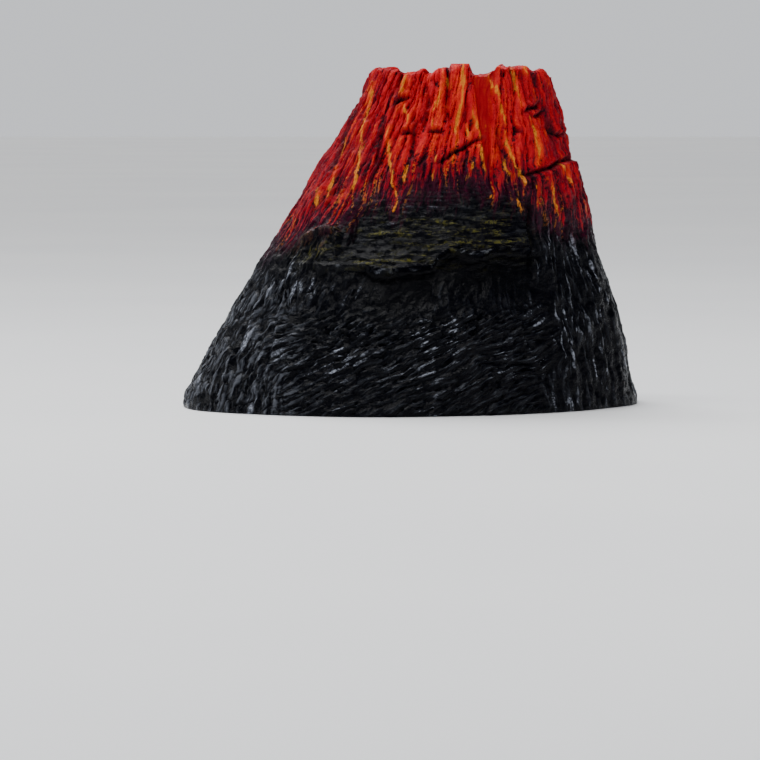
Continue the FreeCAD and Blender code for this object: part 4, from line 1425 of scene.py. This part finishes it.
class VOLCANO_OT_lens(Operator):
    """Finish the clear lens over the lamp"""

    bl_idname = "volcano.lens"
    bl_label = "Lens"

    def execute(self, context):
        colours = context.scene.volcano_finishes
        skin = Skin("clear_acrylic", colours.lens, colours.lens_haze, 900.0, 0.05, 0.05,
                    Transmission_Weight=1.0, IOR=1.49, Specular_IOR_Level=0.2)
        scratch = skin.tree.noise(skin.tree.stretch(skin.spot, (0.05, 1.0, 1.0)), 2400.0, 3, 0.7)
        skin.roughness = skin.tree.add(skin.tree.steps(scratch, 0.64, 0.70), 0.18, skin.roughness)
        paint(skin.close(0.01, 0.2), "clear_lens")
        return {"FINISHED"}


class VOLCANO_OT_seals(Operator):
    """Finish the rubber O-rings"""

    bl_idname = "volcano.seals"
    bl_label = "Seals"

    def execute(self, context):
        colours = context.scene.volcano_finishes
        skin = Skin("seal_rubber", colours.rubber, colours.rubber_bloom, 1700.0, 0.52, 0.14)
        flash = skin.tree.noise(skin.tree.stretch(skin.spot, (1, 1, 4)), 900.0, 3, 0.6)
        skin.over(skin.tree.steps(flash, 0.60, 0.70, 0.0, 0.6), colours.rubber_bloom)
        paint(skin.close(0.05), "outer_seal", "neck_seal", "stone_seal", "inlet_seal")
        return {"FINISHED"}


# ---- Bubbler: lamp -------------------------------------------------------------------------------------

DIODES, DIODE_START = 6, 30.0        # set evenly round the board, the first at this angle
RESISTORS, RESISTOR_START = 3, 0.0
DIODE_HALF, DOME = 2.5, 1.9          # half side of a diode and radius of its dome, mm
RESISTOR_HALF, RESISTOR_DEEP = 1.6, 0.8  # half length and half width of a resistor, mm
LEG_PITCH = 1.65                     # between the legs on one side of a diode, mm
JOINT_TAPER = 0.62                   # top of a solder joint against its foot
# painted shade: near black standing for the inside of a plated hole
HOLE_SHADE = (0.004, 0.004, 0.004)
RING_OUT, RING_WIDE = 3.6, 0.36      # copper across the board beyond a diode, mm
LEG_ASIDE, LEG_WIDE, LEG_REACH = 2.9, 0.4, 3.7  # copper under its legs, mm
LINK_WIDE = 0.5                      # copper between the plated holes, mm
PAD, HOLE = 0.95, 0.50               # radius of a plated pad and of its hole, mm
HOLE_INSET = 1.0                     # from the diodes' circle to the holes', mm
CHIP_HALF, TINNED_FROM = 0.55, 1.08  # chip under a dome, and a resistor's tinned ends, mm


def circle_of(node, start, half):
    """Radius, in mm, of the circle that the middles of a node's solids lie on."""
    way = Vector((math.cos(math.radians(start)), math.sin(math.radians(start))))
    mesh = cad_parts[node].data
    reach = max((v.co.x - AXIS_X) * way.x + (v.co.y - AXIS_Y) * way.y for v in mesh.vertices)
    return reach / MM - half


def diode_circle():
    return circle_of("led_set", DIODE_START, DIODE_HALF)


def resistor_circle():
    return circle_of("resistor_set", RESISTOR_START, RESISTOR_DEEP)


def joint_spots(aside):
    """Every solder joint's angle, distance out and distance aside, in degrees and mm."""
    spots = []
    for i in range(DIODES):
        for row in (-1, 0, 1):
            for side in (-1, 1):
                spots.append((DIODE_START + 360 * i / DIODES, diode_circle() + row * LEG_PITCH,
                              side * (DIODE_HALF + aside)))
    for i in range(RESISTORS):
        for side in (-1, 1):
            spots.append((RESISTOR_START + 360 * i / RESISTORS, resistor_circle(),
                          side * (RESISTOR_HALF + aside)))
    return spots


def solder_joints(sizes):
    """Small domed joints at the legs of the diodes and the ends of the resistors."""
    board_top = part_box("circuit_board")[1].z
    wide, long, high = sizes.joint_width, sizes.joint_length, sizes.joint_height
    deselect()
    bpy.ops.mesh.primitive_cube_add(size=1.0, scale=(wide, long, high))
    first = take_active("solder_joints")
    place(first)
    start_edit()
    bpy.ops.mesh.select_all(action="DESELECT")
    end_edit()
    for polygon in first.data.polygons:
        polygon.select = polygon.normal.z > 0.5
    start_edit()
    bpy.ops.mesh.select_mode(type="FACE")
    bpy.ops.transform.resize(value=(JOINT_TAPER, JOINT_TAPER, 1.0), center_override=(0, 0, 0))
    bpy.ops.mesh.select_mode(type="VERT")
    end_edit()
    soften(first, 0.09, 2)
    spots = joint_spots(long / MM / 2)
    joints = [first] + [copy_piece(first, "joint") for _ in spots[1:]]
    for joint, (angle, out, aside) in zip(joints, spots):
        turn = math.radians(angle)
        x = AXIS_X + (out * math.cos(turn) - aside * math.sin(turn)) * MM
        y = AXIS_Y + (out * math.sin(turn) + aside * math.cos(turn)) * MM
        place(joint, (x, y, board_top + high / 2), (0, 0, turn))
    deselect()
    for joint in joints:
        joint.select_set(True)
    bpy.context.view_layer.objects.active = first
    bpy.ops.object.join()
    return first


def board_material(colours):
    """Green solder mask over copper tracks, with plated holes."""
    skin = Skin("solder_mask", colours.mask, colours.mask_mottle, 1300.0, 0.26, 0.08)
    tree = skin.tree
    diodes = skin.circle(diode_circle(), DIODES, DIODE_START)
    holes = skin.circle(diode_circle() - HOLE_INSET, DIODES, 0.0)
    out = tree.size(diodes["Outward"])
    ring = tree.within(tree.apart(out, RING_OUT * MM), RING_WIDE)
    aside = tree.apart(tree.size(diodes["Sideways"]), LEG_ASIDE * MM)
    legs = tree.times(tree.within(aside, LEG_WIDE), tree.within(out, LEG_REACH, 0.2))
    link = tree.within(tree.size(holes["Sideways"]), LINK_WIDE)
    copper = tree.most(tree.most(ring, legs), link)
    skin.over(copper, colours.mask_track)
    skin.height = tree.add(copper, 1.5, skin.height)
    skin.over(tree.within(holes["Away"], PAD), colours.solder, 0.3)
    # painted shade inside the plated holes
    skin.over(tree.within(holes["Away"], HOLE, 0.08), HOLE_SHADE, 0.8)
    return skin.close(0.05)


def diode_material(colours):
    """White moulded body round a tinted dome."""
    skin = Skin("diode", colours.diode, colours.diode_shade, 2200.0, 0.42, 0.10)
    tree = skin.tree
    diodes = skin.circle(diode_circle(), DIODES, DIODE_START)
    ring = tree.within(tree.apart(diodes["Away"], DOME * MM), 0.22, 0.16)
    chip = tree.most(tree.size(diodes["Outward"]), tree.size(diodes["Sideways"]))
    skin.over(tree.within(diodes["Away"], DOME + 0.06), colours.dome, 0.10)
    skin.over(tree.within(chip, CHIP_HALF, 0.15), colours.dome_core, 0.10)
    skin.over(tree.times(ring, 0.5), colours.diode_shade)
    return skin.close(0.03)


def resistor_material(colours):
    """Black ceramic chip with tinned ends."""
    skin = Skin("chip_resistor", colours.resistor, colours.resistor_mottle, 2000.0, 0.38, 0.10)
    tree = skin.tree
    chips = skin.circle(resistor_circle(), RESISTORS, RESISTOR_START)
    ends = tree.within(tree.size(chips["Sideways"]), TINNED_FROM, -0.08)
    skin.over(ends, colours.solder, 0.3)
    tree.feed(skin.shader, "Metallic", tree.times(ends, 0.9))
    return skin.close(0.03)


class VOLCANO_OT_lamp(Operator):
    """Finish the lamp: board, diodes, resistors, solder joints and potting resin"""

    bl_idname = "volcano.lamp"
    bl_label = "Lamp"

    def execute(self, context):
        colours = context.scene.volcano_finishes
        paint(board_material(colours), "circuit_board")
        paint(diode_material(colours), "led_set")
        paint(resistor_material(colours), "resistor_set")
        resin = Skin("potting_epoxy", colours.epoxy, colours.epoxy_mottle, 260.0, 0.14, 0.10)
        paint(resin.close(0.35), "potting_resin")
        tin = Skin("solder_metal", colours.solder, colours.solder_dull, 2400.0, 0.24, 0.12, Metallic=1.0)
        joints = solder_joints(context.scene.volcano_fittings)
        finish(joints, "bubbler", (), tin.close(0.04))
        return {"FINISHED"}


# ---- Bubbler: ports --------------------------------------------------------------------------------------

INLET_BARREL, INLET_FLANGE = 2.6, 1.6    # radius inside the wall and flange thickness, mm
TAIL_ROOT, TAIL_TIP = 2.2, 0.8           # plain lengths before the first barb and past the last
GLAND_BARREL, GLAND_FLANGE = 3.2, 2.0
NOSE_FOOT, NOSE_TAPER = 3.55, 0.8        # radius at the nose's foot, and what it loses by its tip
BARB_RAMP, BARB_CREST = 0.25, 0.75       # where a barb's crest starts and ends, past its foot
TIP_EDGE, TIP_MOUTH = 0.25, 0.35         # chamfer of the tail's tip, and wall left at its mouth
RIB_FROM, RIB_TO = 0.38, 0.46            # where a rib rises, as shares of the pitch
RIB_STEP = 0.01                          # drop behind a rib, along the nose


def port_size(node):
    """Length and flange radius of a port, in mm."""
    low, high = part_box(node)
    return (high.y - low.y) / MM, (high.z - low.z) / 2 / MM


def lay_back(piece, node):
    """Turns a port made along +Z to point backwards, and puts it where its node is."""
    middle = middle_of(node)
    place(piece, (middle.x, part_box(node)[0].y, middle.z), ALONG_Y)
    return piece


def hose_tail(sizes):
    """Inlet with a flange and a barbed tail, bored through, made along +Z from its inner end."""
    total, flange = port_size("air_inlet")
    bore, crest = sizes.hose_bore / MM, sizes.hose_tail / MM
    root = crest - sizes.barb_rise / MM
    start = total - sizes.hose_length / MM
    under = start - INLET_FLANGE
    stations = [(bore, 0.0), (INLET_BARREL, 0.0), (INLET_BARREL, under), (flange, under),
                (flange, start), (root, start), (root, start + TAIL_ROOT)]
    pitch = (total - start - TAIL_ROOT - TAIL_TIP) / sizes.barbs
    for i in range(sizes.barbs):
        foot = start + TAIL_ROOT + i * pitch
        stations += [(crest, foot + BARB_RAMP), (crest, foot + BARB_CREST), (root, foot + pitch)]
    stations += [(root - 0.1, total - TIP_EDGE), (bore + TIP_MOUTH, total), (bore, total)]
    piece = turned("hose_tail", stations)
    soften(piece, 0.10)
    return lay_back(piece, "air_inlet")


def strain_relief(sizes):
    """Rubber gland with a ribbed, tapering nose, bored for the cable, made along +Z."""
    total, flange = port_size("cable_gland")
    bore, groove = sizes.cable_bore / MM, sizes.rib_groove / MM
    nose = total - sizes.nose_length / MM
    under = nose - GLAND_FLANGE
    stations = [(bore, 0.0), (GLAND_BARREL, 0.0), (GLAND_BARREL, under), (flange, under),
                (flange, nose)]
    pitch = sizes.nose_length / MM / sizes.ribs

    def taper(z):
        return NOSE_FOOT - NOSE_TAPER * (z - nose) / (total - nose)

    for i in range(sizes.ribs):
        z = nose + i * pitch
        stations += [(taper(z) - groove, z), (taper(z) - groove, z + pitch * RIB_FROM),
                     (taper(z), z + pitch * RIB_TO), (taper(z + pitch), z + pitch - RIB_STEP)]
    piece = turned("strain_relief", stations + [(bore, total)])
    soften(piece, 0.08, 2)
    return lay_back(piece, "cable_gland")


class VOLCANO_OT_ports(Operator):
    """Model the barbed hose tail and the ribbed cable gland"""

    bl_idname = "volcano.ports"
    bl_label = "Ports"

    def execute(self, context):
        sizes = context.scene.volcano_fittings
        colours = context.scene.volcano_finishes
        nylon = Skin("hose_nylon", colours.nylon, colours.nylon_mottle, 1400.0, 0.34, 0.10)
        finish(hose_tail(sizes), "bubbler", ("air_inlet",), nylon.close(0.04))
        rubber = Skin("gland_rubber", colours.rubber, colours.rubber_bloom, 1500.0, 0.56, 0.14)
        finish(strain_relief(sizes), "bubbler", ("cable_gland",), rubber.close(0.06))
        return {"FINISHED"}


# ---- Bubbler: air stone ----------------------------------------------------------------------------------

STONE_EDGE = 1.1                     # rounding of the stone's edges, mm
GRAIN_REACH = 0.75                   # a grain's radius, as a share of the grain's size


def rough_stone(sizes):
    """Disc of sintered grains: a rounded cylinder, remeshed evenly and pitted between its grains."""
    low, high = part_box("air_stone")
    deselect()
    bpy.ops.mesh.primitive_cylinder_add(vertices=96, radius=(high.x - low.x) / 2, depth=high.z - low.z,
                                        location=(AXIS_X, AXIS_Y, (low.z + high.z) / 2))
    piece = take_active("sintered_stone")
    place(piece)
    soften(piece, STONE_EDGE, 4)
    apply_modifier(piece, "REMESH", mode="VOXEL", voxel_size=sizes.stone_face)
    count = len(piece.data.vertices)
    pits, tones, moved = np.zeros(count), np.zeros(count), np.zeros((count, 3))
    for i, vertex in enumerate(piece.data.vertices):
        near, places = noise.voronoi(vertex.co / sizes.stone_grain, distance_metric="DISTANCE",
                                     exponent=2.5)
        pits[i] = min(near[0] / GRAIN_REACH, 1.0) ** 2
        tones[i] = noise.cell(places[0] * 3.1)
        moved[i] = vertex.co - vertex.normal * pits[i] * sizes.stone_pit
    moved[:, 2] = np.clip(moved[:, 2], low.z, high.z)
    piece.data.vertices.foreach_set("co", moved.astype(np.float32).ravel())
    put_attribute(piece, "pit", pits)
    put_attribute(piece, "tone", tones)
    smooth(piece, 80)
    return piece


class VOLCANO_OT_stone(Operator):
    """Model the rough air stone"""

    bl_idname = "volcano.stone"
    bl_label = "Air stone"

    def execute(self, context):
        colours = context.scene.volcano_finishes
        skin = Skin("sintered_grains", colours.stone, colours.stone_pale, 1600.0, 0.82, 0.10)
        tree = skin.tree
        skin.over(tree.steps(tree.attribute("tone"), 0.2, 0.9, 0.0, 0.7), colours.stone_pale)
        # painted shade in the pits between the grains
        skin.over(tree.steps(tree.attribute("pit"), 0.25, 0.9, 0.0, 0.85), colours.stone_pit, 0.95)
        finish(rough_stone(context.scene.volcano_fittings), "air_stone_unit",
               ("air_stone",), skin.close(0.12))
        return {"FINISHED"}


# ---- Bubbler: suction cups -------------------------------------------------------------------------------

CUP_SIDES = ("right", "left", "front")
CUP_LIP, CUP_HOLLOW = 0.7, 2.2       # thickness of the rim and depth of the hollow, mm
CUP_WAIST, CUP_SHOULDER = 0.7, 1.2   # the neck is less than the nub, and the shoulder more, mm
CUP_PLATE, CUP_DROP = 0.9, 2.7       # thickness of the shoulder, and the pan to the neck, mm
CUP_BEADS = (6.5, 9.2)               # radii of the raised rings, mm
BEAD_RISE, BEAD_WIDTH = 0.14, 0.3
RIM_ROUND = 0.25                     # rounding of the outer rim, mm
FLARE, DISH = 1.39, 2.2              # powers that curve the outside and the hollow
HAIR = 0.01                          # keeps two stations of one height apart, mm
OUTER_STEPS, INNER_STEPS = 36, 16


def cup_profile(sizes):
    """Stations of a cup, from the pole of its nub, down its outside and back under it, in mm."""
    radius, top = from_axis("suction_cup_right")
    underside = underside_of("base_housing")
    nub = sizes.nub_radius / MM - 2 * HAIR
    shoulder, waist, neck = nub + CUP_SHOULDER, nub - CUP_WAIST, underside - CUP_DROP
    plate = underside - CUP_PLATE
    stations = [(0.8, top), (waist, top), (nub, top - CUP_WAIST), (nub, underside + HAIR),
                (shoulder, underside - HAIR), (shoulder, plate), (waist, plate),
                (waist, plate - CUP_WAIST), (nub, neck)]
    for k in range(1, OUTER_STEPS + 1):
        t = k / OUTER_STEPS
        r = nub + (radius - nub) * t
        bead = sum(math.exp(-((r - ring) / BEAD_WIDTH) ** 2) for ring in CUP_BEADS)
        stations.append((r, neck - (neck - CUP_LIP) * t ** FLARE + BEAD_RISE * bead))
    inner = radius - CUP_LIP
    stations += [(radius, RIM_ROUND), (radius - RIM_ROUND, 0.0), (inner, 0.0)]
    for k in range(1, INNER_STEPS):
        r = inner * (1 - k / INNER_STEPS)
        stations.append((r, CUP_HOLLOW * (1 - (r / inner) ** DISH)))
    return stations


def vinyl_material(colours):
    """Clear, slightly cloudy vinyl."""
    skin = Skin("clear_vinyl", colours.vinyl, colours.vinyl_cloud, 500.0, 0.17, 0.10,
                Transmission_Weight=0.75, IOR=1.52)
    dust = skin.tree.noise(skin.spot, 1500.0, 3, 0.6)
    skin.over(skin.tree.steps(dust, 0.60, 0.72, 0.0, 0.5), colours.vinyl_cloud, 0.4)
    return skin.close(0.05)


class VOLCANO_OT_cups(Operator):
    """Model the three suction cups"""

    bl_idname = "volcano.cups"
    bl_label = "Suction cups"

    def execute(self, context):
        material = vinyl_material(context.scene.volcano_finishes)
        pattern = turned("vinyl_cup", cup_profile(context.scene.volcano_fittings), 64, poles=True)
        smooth(pattern, 40)
        for side in CUP_SIDES:
            cup = copy_piece(pattern, "vinyl_cup_" + side)
            middle = middle_of("suction_cup_" + side)
            place(cup, (middle.x, middle.y, 0.0))
            finish(cup, "bubbler", ("suction_cup_" + side,), material)
        bpy.data.objects.remove(pattern)
        return {"FINISHED"}


# ---- Stage -------------------------------------------------------------------------------------------

LIGHT_AIM = (0.0, 0.0, 0.06)
AREA_LIGHTS = [  # name, (width, height), power, place
    ("key", (1.0, 0.5), 19.0, (-0.25, -0.30, 1.30)),
    ("left", (0.3, 0.6), 3.5, (-1.2, 0.25, 0.40)),
    ("right", (0.3, 0.5), 4.5, (1.3, -0.9, 0.10)),
]
SUN_POWER, SUN_SPREAD, SUN_FROM = 3.0, 40, (-0.25, 0.5, 0.83)


def hang(name, data, spot, turn):
    """Puts a light or the camera in the scene."""
    thing = bpy.data.objects.new(name, data)
    thing.location = spot
    thing.rotation_euler = turn
    bpy.context.scene.collection.objects.link(thing)
    return thing


def studio_lights():
    for name, (width, height), power, spot in AREA_LIGHTS:
        light = bpy.data.lights.new(name, "AREA")
        light.shape = "RECTANGLE"
        light.size, light.size_y = width, height
        light.energy = power
        way = Vector(LIGHT_AIM) - Vector(spot)
        hang(name, light, spot, way.to_track_quat("-Z", "Y").to_euler())
    sun = bpy.data.lights.new("overhead", "SUN")
    sun.energy = SUN_POWER
    sun.angle = math.radians(SUN_SPREAD)
    hang("overhead", sun, (0, 0, 0), Vector(SUN_FROM).to_track_quat("Z", "Y").to_euler())


def studio_world():
    """A pale horizon that darkens upwards, so the rock's upward slopes mirror little."""
    world = bpy.data.worlds.new("studio")
    world.use_nodes = True
    tree = Tree(world.node_tree)
    way = tree.node("ShaderNodeTexCoord").outputs["Generated"]
    height = tree.node("ShaderNodeSeparateXYZ", {"Vector": way}).outputs["Z"]
    tone = tree.mix(tree.steps(height, 0.10, 0.40), (0.80, 0.82, 0.86), (0.04, 0.04, 0.045))
    background = world.node_tree.nodes["Background"]
    tree.feed(background, "Color", tone)
    return world


def floor_material():
    material, tree, shader = new_material("pale_floor", Roughness=0.55)
    spot = tree.node("ShaderNodeTexCoord").outputs["Object"]
    grain = tree.noise(spot, 3.0, 3, 0.5)
    tone = tree.mix(tree.steps(grain, 0.3, 0.7), (0.80, 0.81, 0.83), (0.84, 0.85, 0.86))
    tree.feed(shader, "Base Color", tone)
    return material


class VOLCANO_OT_stage(Operator):
    """Set up the pale floor, the soft lights and the camera"""

    bl_idname = "volcano.stage"
    bl_label = "Stage"

    def execute(self, context):
        scene = context.scene
        stage = scene.volcano_stage
        deselect()
        bpy.ops.mesh.primitive_plane_add(size=stage.floor_size, location=(0, 2.0, -0.0002))
        floor = take_active("floor")
        place(floor)
        floor.data.materials.append(floor_material())
        scene.world = studio_world()
        studio_lights()
        data = bpy.data.cameras.new("camera")
        data.lens = stage.lens
        data.sensor_width = 36.0
        data.clip_end = 50.0
        scene.camera = hang("camera", data,
                            (stage.camera_side, -stage.camera_distance, stage.camera_height),
                            (math.pi / 2 - stage.camera_pitch, 0, 0))
        return {"FINISHED"}


# ---- Add-on -------------------------------------------------------------------------------------------

STEPS = (VOLCANO_OT_rock, VOLCANO_OT_housing, VOLCANO_OT_lens, VOLCANO_OT_seals, VOLCANO_OT_lamp,
         VOLCANO_OT_ports, VOLCANO_OT_stone, VOLCANO_OT_cups, VOLCANO_OT_stage)

GROUPS = {
    "volcano_sizes": VolcanoSizes,
    "volcano_colours": VolcanoColours,
    "volcano_fittings": FittingSizes,
    "volcano_finishes": FinishColours,
    "volcano_stage": StageSizes,
}


class VOLCANO_PT_panel(Panel):
    """Sizes, colours and steps of the ornament"""

    bl_idname = "VOLCANO_PT_panel"
    bl_label = "Volcano Bubbler"
    bl_space_type = "VIEW_3D"
    bl_region_type = "UI"
    bl_category = "Volcano"

    def draw(self, context):
        layout = self.layout
        scene = context.scene
        for step in STEPS:
            layout.operator(step.bl_idname)
        for key in GROUPS:
            box = layout.box()
            group = getattr(scene, key)
            for name in group.__annotations__:
                box.prop(group, name)


def register():
    for name, group in GROUPS.items():
        bpy.utils.register_class(group)
        setattr(bpy.types.Scene, name, PointerProperty(type=group))
    for step in STEPS:
        bpy.utils.register_class(step)
    bpy.utils.register_class(VOLCANO_PT_panel)


def unregister():
    bpy.utils.unregister_class(VOLCANO_PT_panel)
    for step in reversed(STEPS):
        bpy.utils.unregister_class(step)
    for name, group in reversed(GROUPS.items()):
        delattr(bpy.types.Scene, name)
        bpy.utils.unregister_class(group)


def main():
    register()
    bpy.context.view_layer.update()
    for step in STEPS:
        area, name = step.bl_idname.split(".")
        getattr(getattr(bpy.ops, area), name)()


if __name__ == "__main__":
    main()
